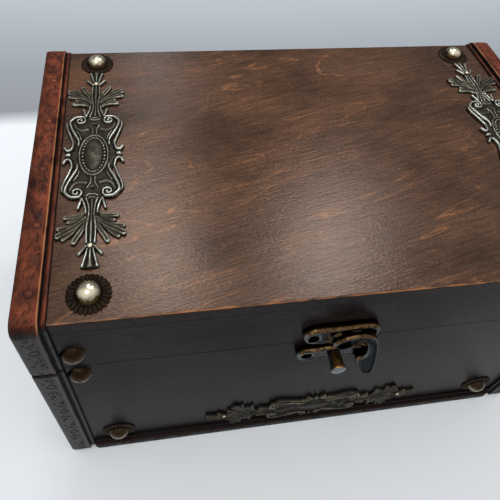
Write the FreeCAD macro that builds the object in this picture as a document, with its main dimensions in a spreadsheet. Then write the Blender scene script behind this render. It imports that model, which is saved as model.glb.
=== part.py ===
"""Small wooden chest: hinged lid, embossed end bands, stamped mounts and a horn latch.

Frame: X to the right, Y to the back, Z up, millimetres, origin under the middle of the base.
"""
import FreeCAD
import Part
import os
import re
import Sketcher
from FreeCAD import Placement, Rotation, Vector

# Driving sizes: name, value, what it measures
SIZES = (
    ("box_width", 261, "chest, end to end"),
    ("box_depth", 161.5, "chest, wood front to wood back"),
    ("base_height", 109, "floor to the top of the base walls"),
    ("lid_height", 37, "lid, rails and top board together"),
    ("seam_gap", 0.4, "gap between the lid and the base"),
    ("wall", 8, "thickness of walls and rails"),
    ("top_board", 7, "thickness of the lid board"),
    ("board_edge", 0.8, "rounding of the lid board's edges"),
    ("band_width", 12.5, "end band with its lip, along X"),
    ("band_face", 10.2, "raised face of the end band, along X"),
    ("band_proud", 2.9, "raised face of the band above the wood"),
    ("band_lip_proud", 1.3, "lip of the band above the wood"),
    ("band_corner", 7, "rounding of the lid band's corners"),
    ("foot_corner", 5, "rounding of the base band's corners"),
    ("band_edge", 0.7, "rounding of the raised face's edges"),
    ("plinth_height", 10.2, "strip along the foot of the front, with its lip"),
    ("plinth_face", 8, "raised face of that strip"),
    ("fit", 0.2, "side clearance of pieces fitted between others"),
    ("rosette_diameter", 17, "petalled washer"),
    ("rosette_thickness", 1.4, "petalled washer at its hub"),
    ("rosette_petals", 20, "petals round a washer"),
    ("rosette_inset", 26.8, "washers from the chest's ends"),
    ("rosette_gap", 1.2, "lid washers from the ends of the mount between them"),
    ("rosette_rise", 22, "base washers above the floor"),
    ("nail_head", 10.3, "domed nail head across"),
    ("nail_dome", 3.7, "height of the domed head"),
    ("nail_shank", 1.8, "nail shank across"),
    ("nail_length", 7, "nail shank below its head"),
    ("stud_above", 12, "lid stud above the base wall"),
    ("stud_below", 7.5, "base stud below the base wall's top"),
    ("ornament_length", 120, "stamped mount, end to end"),
    ("ornament_width", 28, "stamped mount, side to side"),
    ("ornament_plate", 1.2, "stamped sheet's lowest relief"),
    ("ornament_relief", 2.3, "stamped sheet's highest relief"),
    ("ornament_shift", 1, "lid mounts behind the middle"),
    ("front_shift", 2.5, "front mount right of the middle"),
    ("eyelet", 1.8, "open hole near each end of the mount's cartouche"),
    ("tack_head", 2.8, "small tack head across"),
    ("tack_dome", 1, "height of the tack head"),
    ("tack_shank", 1.2, "tack shank across"),
    ("tack_length", 6, "tack shank below its head"),
    ("latch_x", -3.4, "latch right of the middle"),
    ("latch_length", 33.4, "latch plates, end to end"),
    ("hook_plate_height", 13.7, "latch plate on the lid, top to bottom"),
    ("post_plate_height", 11.6, "latch plate on the base, top to bottom"),
    ("latch_plate", 3.8, "thickness of the latch plates"),
    ("plate_edge", 0.9, "depth of the bevel round the latch plates"),
    ("latch_screws", 25, "screw spacing of the latch plates"),
    ("pivot_rise", 8.7, "hook pivot above the lid's lower edge"),
    ("post_drop", 7.4, "post below the base wall's top"),
    ("post_diameter", 6, "latch post across"),
    ("post_head", 6.6, "head of the latch post across"),
    ("post_length", 8.5, "latch post in front of its plate"),
    ("post_head_length", 2.4, "head of the latch post along it"),
    ("boss_height", 0.8, "boss that carries the hook off its plate"),
    ("boss_diameter", 8.4, "that boss across"),
    ("hook_thickness", 2.85, "horn hook, front to back"),
    ("hook_play", 0.15, "end play of the hook on its rivet"),
    ("rivet_diameter", 3.4, "hook rivet across"),
    ("rivet_head", 6, "head of the hook rivet across"),
    ("rivet_cap", 0.7, "head of the hook rivet along it"),
    ("hinge_inset", 60.5, "middle of a hinge from the chest's end"),
    ("hinge_length", 32, "hinge leaf along its pin"),
    ("leaf_height", 17, "hinge leaf from the pin to its edge"),
    ("leaf_thickness", 1.4, "hinge leaf"),
    ("axis_gap", 0.3, "pin line behind the bands' back face"),
    ("knuckle_diameter", 6, "hinge barrel across"),
    ("knuckle_gap", 0.2, "gap between neighbouring knuckles"),
    ("pin_diameter", 2.6, "hinge pin across"),
    ("running_clearance", 0.06, "radial room of a turning fit"),
    ("hinge_screws", 19, "screw spacing of a hinge leaf"),
    ("screw_drop", 11, "hinge screws from the pin line"),
    ("screw_head", 5, "countersunk head across"),
    ("screw_sink", 1.2, "depth of the countersunk head"),
    ("screw_shank", 2.6, "screw shank across"),
    ("screw_length", 8, "screw, overall"),
)

UP = Rotation()
FRONT = Rotation(Vector(1, 0, 0), 90)
BACK = Rotation(Vector(0, 0, 1), 180) * FRONT
HALF_TURN = Rotation(Vector(0, 0, 1), 180)
QUARTER_TURN = Rotation(Vector(0, 0, 1), 90)
ALONG_X = Rotation(Vector(0, 1, 0), 90)
ALONG_Y = Rotation(Vector(1, 0, 0), -90)

ALIASES = {name for name, value, note in SIZES}
ORIGIN = ("0", "0", "0")

# Places that several pieces share
LID_FOOT = "(base_height + seam_gap)"
LID_TOP = "(base_height + seam_gap + lid_height)"
PIN_HEIGHT = "(base_height + seam_gap / 2)"
PIN_OFFSET = "(band_proud + axis_gap)"
PIVOT_HEIGHT = "(base_height + seam_gap + pivot_rise)"
POST_HEIGHT = "(base_height - post_drop)"
HOOK_REACH = ("pivot_rise", "seam_gap", "post_drop")
WASHER_SIDE = "(box_width / 2 - rosette_inset)"
WASHER_REACH = "(ornament_length / 2 + rosette_gap + rosette_diameter / 2)"
HINGE_SIDE = "(box_width / 2 - hinge_inset)"
STUD_SIDE = "(box_width / 2 - band_width - nail_head / 2 - fit)"
BAND_FOOT = "(box_width / 2 - band_width)"
SIDES = (-1, 1)

doc = FreeCAD.newDocument("Chest")
nodes = []


def make_sheet():
    """Sheet with one named cell for each driving size."""
    sheet = doc.addObject("Spreadsheet::Sheet", "Sizes")
    for row, (name, value, note) in enumerate(SIZES, start=1):
        sheet.set(f"A{row}", note)
        sheet.set(f"B{row}", str(value))
        sheet.setAlias(f"B{row}", name)
    doc.recompute()
    return sheet


def size(name):
    """Value of one cell of the sheet."""
    return float(doc.getObject("Sizes").get(name))


def formula(text):
    """Expression text whose size names point at the sheet."""
    def point(word):
        return f"Sizes.{word[0]}" if word[0] in ALIASES else word[0]
    return re.sub(r"[a-z][a-z_]*", point, text)


def bind(thing, prop, text):
    """Tie one property to a formula of sheet sizes."""
    thing.setExpression(prop, formula(text))


def place(thing, base, facing=UP):
    """Turn a piece and tie its place to three formulas."""
    thing.Placement = Placement(Vector(), facing)
    for axis, text in zip("xyz", base):
        bind(thing, f"Placement.Base.{axis}", text)


def node(thing, label):
    """Hand a finished piece in under its own label."""
    thing.Label = label
    nodes.append(thing)
    return thing


# Plain solids and booleans

def board(name, lengths, corner):
    """Rectangular board from its lengths and lowest corner."""
    box = doc.addObject("Part::Box", name)
    for prop, text in zip(("Length", "Width", "Height"), lengths):
        bind(box, prop, text)
    place(box, corner)
    return box


def rod(name, diameter, height, base=ORIGIN, facing=UP):
    """Round bar that stands on its base point."""
    bar = doc.addObject("Part::Cylinder", name)
    bind(bar, "Radius", f"({diameter}) / 2")
    bind(bar, "Height", height)
    place(bar, base, facing)
    return bar


def cone(name, low, high, height, base=ORIGIN):
    """Round taper between two diameters."""
    taper = doc.addObject("Part::Cone", name)
    bind(taper, "Radius1", f"({low}) / 2")
    bind(taper, "Radius2", f"({high}) / 2")
    bind(taper, "Height", height)
    place(taper, base)
    return taper


def dome(name, across, rise, base=ORIGIN):
    """Cap of a ball, from its diameter and its rise."""
    ball = f"((({across}) ^ 2 / 4 + ({rise}) ^ 2) / (2 * ({rise})))"
    cap = doc.addObject("Part::Sphere", name)
    bind(cap, "Radius", ball)
    bind(cap, "Angle1", f"asin(1 - ({rise}) / {ball})")
    place(cap, (base[0], base[1], f"{base[2]} + {rise} - {ball}"))
    return cap


def fuse(name, pieces):
    """One solid from pieces that run into each other."""
    whole = doc.addObject("Part::MultiFuse", name)
    whole.Shapes = pieces
    whole.Refine = True
    return whole


def copies(name, pattern, places):
    """Group of placed copies of one pattern piece."""
    links = []
    for index, (base, facing) in enumerate(places, start=1):
        link = doc.addObject("App::Link", f"{name}_{index}")
        link.LinkedObject = pattern
        link.LinkTransform = True
        place(link, base, facing)
        links.append(link)
    group = doc.addObject("Part::Compound", name)
    group.Links = links
    return group


def cut(name, base, tool):
    """Base solid with the tool taken out of it."""
    rest = doc.addObject("Part::Cut", name)
    rest.Base = base
    rest.Tool = tool
    return rest


def drilled(name, base, hole, places):
    """Base solid with one hole at each place."""
    return cut(name, base, copies(f"{name}_holes", hole, places))


# Sketches and features

def new_body(name):
    """Empty body for sketched features."""
    return doc.addObject("PartDesign::Body", name)


def plane_of(body, role):
    """Origin plane or axis of a body, by its role."""
    return next(part for part in body.Origin.OriginFeatures if part.Role == role)


def sketch_on(body, role="XY_Plane", lift="0"):
    """Sketch on one of the body's own planes, lifted along its normal."""
    sketch = body.newObject("Sketcher::SketchObject", f"{body.Name}_sketch")
    sketch.AttachmentSupport = [(plane_of(body, role), "")]
    sketch.MapMode = "FlatFace"
    bind(sketch, "AttachmentOffset.Base.z", lift)
    return sketch


def hold(sketch, geometry, corner, at):
    """Hold a sketch point at two formulas measured from the sketch's origin."""
    here = sketch.getPoint(geometry, corner)
    for kind, now, text in zip(("DistanceX", "DistanceY"), (here.x, here.y), at):
        index = sketch.addConstraint(Sketcher.Constraint(kind, -1, 1, geometry, corner, now))
        bind(sketch, f"Constraints[{index}]", text)


def rectangle(sketch, low, high):
    """Closed rectangle between two corners given as formulas."""
    corners = (Vector(0, 0), Vector(1, 0), Vector(1, 1), Vector(0, 1))
    for index, corner in enumerate(corners):
        sketch.addGeometry(Part.LineSegment(corner, corners[(index + 1) % 4]))
    for index in range(4):
        sketch.addConstraint(Sketcher.Constraint("Coincident", index, 2, (index + 1) % 4, 1))
    for index, kind in enumerate(("Horizontal", "Vertical", "Horizontal", "Vertical")):
        sketch.addConstraint(Sketcher.Constraint(kind, index))
    hold(sketch, 0, 1, low)
    hold(sketch, 2, 1, high)


def circle(sketch, at, diameter):
    """Circle from its middle and diameter, given as formulas."""
    index = sketch.addGeometry(Part.Circle(Vector(0, 0), Vector(0, 0, 1), 1))
    hold(sketch, index, 3, at)
    width = sketch.addConstraint(Sketcher.Constraint("Diameter", index, 2.0))
    bind(sketch, f"Constraints[{width}]", diameter)


def outline(sketch, start, steps, units):
    """Closed outline of lines (one point) and arcs (a point on the way and an end).

    Points are shares of the two units, each unit a sum of named sizes over a number. An outline
    that doesn't come back to its start is closed by a straight line.
    """
    scale = [sum(size(name) for name in names) / share for names, share in units]
    texts = [f"({' + '.join(names)}) / {share}" for names, share in units]

    def spot(point):
        return Vector(point[0] * scale[0], point[1] * scale[1])

    def held_at(point):
        return tuple(f"{share} * {text}" for share, text in zip(point, texts))

    if steps[-1][-1] != start:
        steps += ((start,),)
    here = start
    pieces = []
    for step in steps:
        ends = (here, step[-1])
        if len(step) == 1:
            piece = sketch.addGeometry(Part.LineSegment(spot(ends[0]), spot(ends[1])))
            corners = (1, 2)
        else:
            arc = Part.Arc(spot(ends[0]), spot(step[0]), spot(ends[1]))
            piece = sketch.addGeometry(arc)
            # A sketch stores arcs counter-clockwise, so its first end may be either one
            begins = sketch.getPoint(piece, 1).distanceToPoint(spot(ends[0])) < 1e-6
            corners = (1, 2) if begins else (2, 1)
            way = sketch.addGeometry(Part.Point(spot(step[0])), True)
            hold(sketch, way, 1, held_at(step[0]))
            sketch.addConstraint(Sketcher.Constraint("PointOnObject", way, 1, piece))
        pieces.append((piece, corners))
        hold(sketch, piece, corners[1], held_at(step[-1]))
        here = step[-1]
    for index, (piece, corners) in enumerate(pieces):
        before, ends = pieces[index - 1]
        sketch.addConstraint(Sketcher.Constraint("Coincident", before, ends[1], piece, corners[0]))


def pad(body, sketch, length, both_ways=False):
    """Raise a sketch by a length."""
    raised = body.newObject("PartDesign::Pad", f"{body.Name}_pad")
    raised.Profile = sketch
    raised.Midplane = both_ways
    bind(raised, "Length", length)
    return raised


def pocket(body, sketch):
    """Cut a sketch right through the body, along its normal."""
    sunk = body.newObject("PartDesign::Pocket", f"{body.Name}_pocket")
    sunk.Profile = sketch
    sunk.Type = "ThroughAll"
    sunk.Midplane = True
    return sunk


def round_edges(body, wanted, radius):
    """Fillet the edges of the body's last feature that a test picks."""
    doc.recompute()
    last = body.Tip
    edges = enumerate(last.Shape.Edges, start=1)
    names = [f"Edge{index}" for index, edge in edges if wanted(edge)]
    if not names:
        raise ValueError(f"{body.Name} has no edge to round")
    soft = body.newObject("PartDesign::Fillet", f"{body.Name}_fillet")
    soft.Base = (last, names)
    bind(soft, "Radius", radius)
    return soft


def along_x(edge):
    """True for a straight edge along X."""
    if not isinstance(edge.Curve, Part.Line):
        return False
    return abs(edge.Curve.Direction.x) > 0.999


# Carcass

def base_boards():
    """Walls of the base, and the thin bottom nailed up under them between the bands."""
    rise = "base_height - band_proud"
    long_wall = ("box_width - 2 * wall", "wall", rise)
    end_wall = ("wall", "box_depth", rise)
    front = board("front_board", long_wall, ("wall - box_width / 2", "-box_depth / 2", "band_proud"))
    back = board("back_board", long_wall, ("wall - box_width / 2", "box_depth / 2 - wall", "band_proud"))
    for side, start in (("left", "-box_width / 2"), ("right", "box_width / 2 - wall")):
        label = f"base_{side}_end"
        node(board(label, end_wall, (start, "-box_depth / 2", "band_proud")), label)
    thin = (f"2 * {BAND_FOOT}", "box_depth", "band_proud")
    node(board("base_bottom", thin, (f"-{BAND_FOOT}", "-box_depth / 2", "0")), "base_bottom")
    return front, back


def lid_boards():
    """Rails and ends of the lid frame."""
    rise = "lid_height - top_board"
    long_rail = ("box_width - 2 * wall", "wall", rise)
    end_rail = ("wall", "box_depth", rise)
    front = board("front_rail", long_rail, ("wall - box_width / 2", "-box_depth / 2", LID_FOOT))
    back = board("back_rail", long_rail, ("wall - box_width / 2", "box_depth / 2 - wall", LID_FOOT))
    for side, start in (("left", "-box_width / 2"), ("right", "box_width / 2 - wall")):
        label = f"lid_{side}_end"
        node(board(label, end_rail, (start, "-box_depth / 2", LID_FOOT)), label)
    return front, back


def lid_board():
    """Lid board over the rails, its long upper edges eased."""
    body = new_body("top")
    sketch = sketch_on(body)
    rectangle(sketch, ("-box_width / 2", "-box_depth / 2"), ("box_width / 2", "box_depth / 2"))
    pad(body, sketch, "top_board")
    top = size("top_board")
    round_edges(body, lambda edge: along_x(edge) and edge.CenterOfMass.z > 0.9 * top, "board_edge")
    place(body, ("0", "0", f"{LID_TOP} - top_board"))
    return body


# Bands and plinths: a raised face with a lower lip beside it

def middle_of(body):
    """Height of the middle of a body's last feature."""
    return body.Tip.Shape.BoundBox.Center.z


def band(label, low, high, inner_low, inner_high, corner, corner_sign, at, facing):
    """Strip bent round one end of the lid or the base, cut from stepped outlines.

    low and high bound the outline in Z for a given stand-off; corner_sign is +1 where the
    bent corners are at the top and -1 where they are at the foot.
    """
    body = new_body(label)
    for proud, width in (("band_lip_proud", "band_width"), ("band_proud", "band_face")):
        sketch = sketch_on(body, "YZ_Plane")
        across = f"(box_depth / 2 + {proud})"
        rectangle(sketch, (f"-{across}", low(proud)), (across, high(proud)))
        pad(body, sketch, width)
    bent = (
        ("band_lip_proud", f"min({corner} - band_proud + band_lip_proud; 3 * band_lip_proud)"),
        ("band_proud", f"min({corner}; 3 * band_proud)"),
    )
    for proud, radius in bent:
        reach = size("box_depth") / 2 + size(proud)

        def bent_edge(edge, reach=reach):
            if not along_x(edge):
                return False
            at_corner = abs(abs(edge.CenterOfMass.y) - reach) < 1e-4
            return at_corner and (edge.CenterOfMass.z - middle_of(body)) * corner_sign > 0

        round_edges(body, bent_edge, radius)
    sketch = sketch_on(body, "YZ_Plane")
    rectangle(sketch, ("-box_depth / 2", inner_low), ("box_depth / 2", inner_high))
    pocket(body, sketch)
    place(body, at, facing)
    return node(body, label)


def bands():
    """End bands: an arch over the lid and a trough under the base at each end."""
    for side, sign, facing in (("left", "-", UP), ("right", "", HALF_TURN)):
        end = f"{sign}box_width / 2"
        band(f"lid_{side}_band", lambda proud: "0", lambda proud: f"lid_height + {proud}",
             "0", "lid_height", "band_corner", 1, (end, "0", LID_FOOT), facing)
        band(f"base_{side}_band", lambda proud: f"band_proud - {proud}", lambda proud: "base_height",
             "band_proud", "base_height", "foot_corner", -1, (end, "0", "0"), facing)


def plinths():
    """Strips of the same moulding along the foot of the front and the back."""
    for side, sign, facing in (("front", "-", HALF_TURN), ("back", "", UP)):
        label = f"{side}_plinth"
        body = new_body(label)
        steps = (("band_lip_proud", "plinth_height"), ("band_proud", "plinth_face"))
        for proud, height in steps:
            sketch = sketch_on(body, "YZ_Plane")
            rectangle(sketch, ("0", "0"), (proud, height))
            pad(body, sketch, f"2 * ({BAND_FOOT} - fit)", both_ways=True)
        proud = size("band_proud")
        face = size("plinth_face")

        def shoulder(edge):
            at = edge.CenterOfMass
            return along_x(edge) and abs(at.y - proud) < 1e-4 and abs(at.z - face) < 1e-4

        round_edges(body, shoulder, "band_edge")
        place(body, ("0", f"{sign}box_depth / 2", "0"), facing)
        node(body, label)


# Fasteners: each pattern stands on its seat with its shank below

def dome_nail():
    """Nail with a large domed head."""
    head = dome("nail_cap", "nail_head", "nail_dome")
    shank = rod("nail_stem", "nail_shank", "nail_length", ("0", "0", "-nail_length"))
    return fuse("dome_nail", [head, shank])


def tack():
    """Small tack that holds a stamped mount."""
    head = dome("tack_cap", "tack_head", "tack_dome")
    shank = rod("tack_stem", "tack_shank", "tack_length", ("0", "0", "-tack_length"))
    return fuse("tack", [head, shank])


def countersunk(name, room):
    """Countersunk screw, or with some room the hole that takes it."""
    taper = cone(f"{name}_taper", f"screw_shank + {room}", f"screw_head + {room}", "screw_sink",
                 ("0", "0", "-screw_sink"))
    shank = rod(f"{name}_stem", f"screw_shank + {room}", "screw_length", ("0", "0", "-screw_length"))
    return fuse(name, [taper, shank])


# Stamped mounts

# One petal from the hub to its tip, in shares of the washer's radius
PETAL = ((0.5, -0.08), (((0.88, -0.13),), ((0.97, -0.09),), ((1, 0),), ((0.97, 0.09),), ((0.88, 0.13),),
                        ((0.5, 0.08),)))


def rosette():
    """Petalled washer: a hub disc with petals patterned round it and a nail hole."""
    body = new_body("rosette")
    hub = sketch_on(body)
    circle(hub, ("0", "0"), "0.74 * rosette_diameter")
    pad(body, hub, "rosette_thickness")
    petal = sketch_on(body)
    radius = ((("rosette_diameter",), 2), (("rosette_diameter",), 2))
    outline(petal, PETAL[0], PETAL[1], radius)
    raised = pad(body, petal, "0.75 * rosette_thickness")
    doc.recompute()
    ring = body.newObject("PartDesign::PolarPattern", "rosette_ring")
    ring.Originals = [raised]
    ring.Axis = (plane_of(body, "Z_Axis"), [""])
    ring.Angle = 360
    bind(ring, "Occurrences", "rosette_petals")
    body.Tip = ring
    doc.recompute()
    hole = sketch_on(body)
    circle(hole, ("0", "0"), "nail_shank + 2 * running_clearance")
    pocket(body, hole)
    return body


# A mount is drawn as one quarter and mirrored twice. Shares are millimetres on a sheet of 28 by 120.
SHEET_UNITS = ((("ornament_width",), 28), (("ornament_length",), 120))
MOUNT_X = "ornament_width / 28"
MOUNT_Y = "ornament_length / 120"
TACK_SPOT = 50
EYELET_SPOT = 20

STEM = ((0, 21), (((2.9, 21),), ((2.1, 26), (2.6, 31)), ((2.9, 42),), ((3.2, 50), (2.2, 54)),
                  ((2.5, 58), (3.9, 60)), ((0, 60),)))
CARTOUCHE = ((0, 0), (((10.8, 0),), ((10.8, 3.4),), ((8.5, 6), (8.3, 9)), ((9.2, 14), (13.2, 17.8)),
                      ((14, 20.4), (11.8, 21.8)), ((9.2, 21.4), (9.8, 24)), ((7.2, 26.4), (4.2, 25)),
                      ((0, 23),)))
# Oval of four arcs, in shares of its half width and half length
OVAL = ((0.67, -0.735), (((1, 0), (0.67, 0.735)), ((0, 1), (-0.67, 0.735)),
                         ((-1, 0), (-0.67, -0.735)), ((0, -1), (0.67, -0.735))))
# Leaves: root, tip, and a point on each edge
LEAVES = (
    ((2, 28.5), (5, 31.6), (4.2, 28.6), (2.6, 31.4)),
    ((1, 31), (10.4, 35.6), (7, 31.6), (5, 35.8)),
    ((1, 33.5), (14, 39.4), (9.2, 34.6), (7, 38.6)),
    ((1, 36), (13.4, 44), (9, 38), (6.4, 42.4)),
    ((1, 40), (7.4, 48.6), (6, 42.6), (2.6, 46.4)),
    ((1, 47), (5.2, 53.6), (4.8, 49.4), (2, 51.6)),
)


def raised_outline(name, shape, height, units=SHEET_UNITS):
    """Flat raised piece from an outline, by default one on the mount's sheet."""
    sketch = doc.addObject("Sketcher::SketchObject", f"{name}_sketch")
    outline(sketch, shape[0], shape[1], units)
    solid = doc.addObject("Part::Extrusion", name)
    solid.Base = sketch
    solid.DirMode = "Custom"
    solid.Dir = Vector(0, 0, 1)
    solid.Solid = True
    bind(solid, "LengthFwd", height)
    return solid


def sheet_spot(x, y, height):
    """Place on the mount's sheet."""
    return (f"{x} * {MOUNT_X}", f"{y} * {MOUNT_Y}", height)


def ends_of_sheet(reach):
    """The two places on the mount's long axis at a reach from its middle."""
    return [(sheet_spot(0, sign * reach, "0"), UP) for sign in SIDES]


def mirrored(name, piece, normal):
    """Mirror image of a piece across a plane through the origin."""
    twin = doc.addObject("Part::Mirroring", name)
    twin.Source = piece
    twin.Normal = normal
    return twin


def oval_units(half_width, half_length):
    """Units that make an oval of this half width and half length on the mount's sheet."""
    return (("ornament_width",), 28 / half_width), (("ornament_length",), 120 / half_length)


def crowned(name, piece, half_width, crown):
    """Piece of the mount's full relief whose top is crowned across its width."""
    radius = f"((({half_width}) ^ 2 + ({crown}) ^ 2) / (2 * ({crown})))"
    start = ("0", "-ornament_length / 2", f"ornament_relief - {radius}")
    vault = rod(f"{name}_vault", f"2 * {radius}", "ornament_length", start, ALONG_Y)
    top = doc.addObject("Part::Common", name)
    top.Base = piece
    top.Tool = vault
    return top


def ornament():
    """Stamped mount: leafy stems, a scrolled cartouche and an oval medallion."""
    step = "(ornament_relief - ornament_plate)"
    quarter = [
        raised_outline("mount_stem", STEM, f"ornament_plate + 0.3 * {step}"),
        raised_outline("mount_cartouche", CARTOUCHE, "ornament_plate"),
    ]
    for index, (root, tip, under, over) in enumerate(LEAVES, start=1):
        shape = (root, ((under, tip), (over, root)))
        height = f"ornament_plate + {0.3 + 0.08 * (len(LEAVES) - index)} * {step}"
        quarter.append(raised_outline(f"mount_leaf_{index}", shape, height))
    for index, (x, y, across) in enumerate(((6.7, 22.4, 6.2), (11.6, 18.8, 3.6)), start=1):
        spot = sheet_spot(x, y, "0")
        rise = f"ornament_plate + 0.6 * {step}"
        quarter.append(rod(f"mount_scroll_{index}", f"{across} * {MOUNT_X}", rise, spot))
    for index, (x, y, across) in enumerate(((12, 0, 4), (11.2, 3.4, 3.2)), start=1):
        spot = sheet_spot(x, y, "0")
        width = f"{across} * {MOUNT_X}"
        quarter.append(cone(f"mount_knob_{index}", width, f"0.5 * {width}", "ornament_relief", spot))
    corner = fuse("mount_quarter", quarter)
    half = fuse("mount_half", [corner, mirrored("mount_right", corner, Vector(1, 0, 0))])
    rim = raised_outline("mount_rim", OVAL, f"ornament_plate + 0.5 * {step}", oval_units(6.3, 12.3))
    medallion = raised_outline("mount_medallion", OVAL, "ornament_relief", oval_units(4.6, 10.2))
    oval = [rim, crowned("mount_crowned", medallion, f"4.6 * {MOUNT_X}", step)]
    whole = fuse("mount_whole", [half, mirrored("mount_far", half, Vector(0, 1, 0))] + oval)
    through = ("3 * ornament_relief", ("0", "0", "-ornament_relief"))
    tack_hole = rod("mount_tack_hole", "tack_shank + 2 * running_clearance", *through)
    tacked = drilled("mount_tacked", whole, tack_hole, ends_of_sheet(TACK_SPOT))
    return drilled("ornament", tacked, rod("mount_eyelet", "eyelet", *through), ends_of_sheet(EYELET_SPOT))


# Latch

# Plate outline in shares of its length and height
PLATE = ((-0.4, 0.5), (((0.4, 0.5),), ((0.5, 0.12), (0.42, -0.32)), ((0.17, -0.42),),
                       ((0, -0.5), (-0.17, -0.42)), ((-0.42, -0.32),), ((-0.5, 0.12), (-0.4, 0.5))))
# The plate's front face is that many times shorter and lower than its outline
PLATE_BEVEL = (1.06, 1.14)
# Horn outline about its pivot, in shares of the distance from the pivot to the post
HORN = ((-0.02, 0.31), (((0.45, 0.39), (0.86, 0.08)), ((1.14, -0.83), (1.33, -1.92)),
                        ((1.25, -2.24), (1.02, -2.14)), ((0.78, -1.7), (0.61, -1.14)),
                        ((0.7, -1.03), (0.8, -0.91)), ((0.765, -0.5), (0.58, -0.06)),
                        ((0.42, 0.04), (0.27, -0.15)), ((-0.25, -0.185), (-0.02, 0.31))))


def latch_plate(name, height, with_boss):
    """Bean-shaped plate with bevelled front edges, with or without a boss."""
    body = new_body(name)
    shoulder = "latch_plate - plate_edge"
    drawn = []
    for lift, (narrower, lower) in (("0", (1, 1)), (shoulder, (1, 1)), ("latch_plate", PLATE_BEVEL)):
        sketch = sketch_on(body, lift=lift)
        outline(sketch, PLATE[0], PLATE[1], ((("latch_length",), narrower), ((height,), lower)))
        drawn.append(sketch)
    pad(body, drawn[0], shoulder)
    bevel = body.newObject("PartDesign::AdditiveLoft", f"{name}_bevel")
    bevel.Profile = drawn[1]
    bevel.Sections = [drawn[2]]
    bevel.Ruled = True
    if with_boss:
        ring = sketch_on(body)
        circle(ring, ("0", "0"), "boss_diameter")
        pad(body, ring, "latch_plate + boss_height")
    return body


def latch(screw, screw_hole):
    """Plates, post, rivet and horn hook; returns the screws' places on the lid and the base."""
    face = "-box_depth / 2"
    spread = [f"latch_x {sign} latch_screws / 2" for sign in "-+"]
    plate_front = f"{face} - latch_plate"
    lid_screws = [((x, plate_front, PIVOT_HEIGHT), FRONT) for x in spread]
    base_screws = [((x, plate_front, POST_HEIGHT), FRONT) for x in spread]

    hook_plate = latch_plate("hook_plate", "hook_plate_height", True)
    pivot = ("latch_x", face, PIVOT_HEIGHT)
    place(hook_plate, pivot, FRONT)
    rivet_hole = rod("rivet_hole", "rivet_diameter", "latch_plate + boss_height", pivot, FRONT)
    pierced = cut("hook_plate_pierced", hook_plate, rivet_hole)
    node(drilled("hook_plate_drilled", pierced, screw_hole, lid_screws), "latch_hook_plate")

    post_plate = latch_plate("post_plate", "post_plate_height", False)
    foot = ("latch_x", face, POST_HEIGHT)
    place(post_plate, foot, FRONT * HALF_TURN)
    spigot = "post_diameter / 2"
    post_hole = rod("post_hole", spigot, "latch_plate", foot, FRONT)
    pierced = cut("post_plate_pierced", post_plate, post_hole)
    node(drilled("post_plate_drilled", pierced, screw_hole, base_screws), "latch_post_plate")

    neck = "post_length - post_head_length"
    shoulder = "post_length - 0.3 * post_head_length"
    post = fuse("post", [
        rod("post_spigot", spigot, "latch_plate", ("0", "0", "-latch_plate")),
        rod("post_neck", "post_diameter", neck),
        rod("post_cap", "post_head", "0.7 * post_head_length", ("0", "0", neck)),
        dome("post_end", "post_head", "0.3 * post_head_length", ("0", "0", shoulder)),
    ])
    place(post, ("latch_x", plate_front, POST_HEIGHT), FRONT)
    node(post, "latch_post")

    boss_front = f"{plate_front} - boss_height"
    grip = "hook_thickness + 2 * hook_play"
    root = "latch_plate + boss_height"
    rivet = fuse("rivet", [
        rod("rivet_stem", "rivet_diameter", f"{root} + {grip}", ("0", "0", f"-({root})")),
        dome("rivet_cap_end", "rivet_head", "rivet_cap", ("0", "0", grip)),
    ])
    place(rivet, ("latch_x", boss_front, PIVOT_HEIGHT), FRONT)
    node(rivet, "latch_pivot_rivet")

    hook = new_body("hook")
    sketch = sketch_on(hook)
    outline(sketch, HORN[0], HORN[1], ((HOOK_REACH, 1), (HOOK_REACH, 1)))
    pad(hook, sketch, "hook_thickness")
    eye = sketch_on(hook)
    circle(eye, ("0", "0"), "rivet_diameter + 2 * running_clearance")
    pocket(hook, eye)
    place(hook, ("latch_x", f"{boss_front} - hook_play", PIVOT_HEIGHT), FRONT)
    node(hook, "latch_hook")
    node(copies("hook_screws", screw, lid_screws), "latch_hook_screws")
    node(copies("post_screws", screw, base_screws), "latch_post_screws")
    return lid_screws, base_screws


# Hinges: leaves on the back face, their barrel just behind the bands

def hinge_leaf(name, sign, knuckles, bore):
    """Leaf with its knuckles; local Y runs from the pin line along the leaf, Z outward.

    knuckles holds the start and end of each knuckle as shares of the leaf's length.
    """
    body = new_body(name)
    relief = "(knuckle_diameter / 2 + axis_gap)"
    flat = sketch_on(body)
    ends = sorted((f"{sign} * {relief}", f"{sign} * leaf_height"), reverse=sign < 0)
    rectangle(flat, ("-hinge_length / 2", ends[0]), ("hinge_length / 2", ends[1]))
    pad(body, flat, "leaf_thickness")
    pieces = [body]
    bores = []
    for index, (start, end) in enumerate(knuckles, start=1):
        length = f"{end - start} * hinge_length - knuckle_gap"
        x = f"{start} * hinge_length + knuckle_gap / 2"
        low = "0" if sign > 0 else f"-{relief}"
        pieces.append(board(f"{name}_tab_{index}", (length, relief, "leaf_thickness"), (x, low, "0")))
        end_face = (x, "0", PIN_OFFSET)
        pieces.append(rod(f"{name}_knuckle_{index}", "knuckle_diameter", length, end_face, ALONG_X))
        bores.append(rod(f"{name}_bore_{index}", bore, length, end_face, ALONG_X))
    solid = fuse(f"{name}_solid", pieces)
    hollow = fuse(f"{name}_hollow", bores) if len(bores) > 1 else bores[0]
    return cut(f"{name}_bored", solid, hollow)


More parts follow.
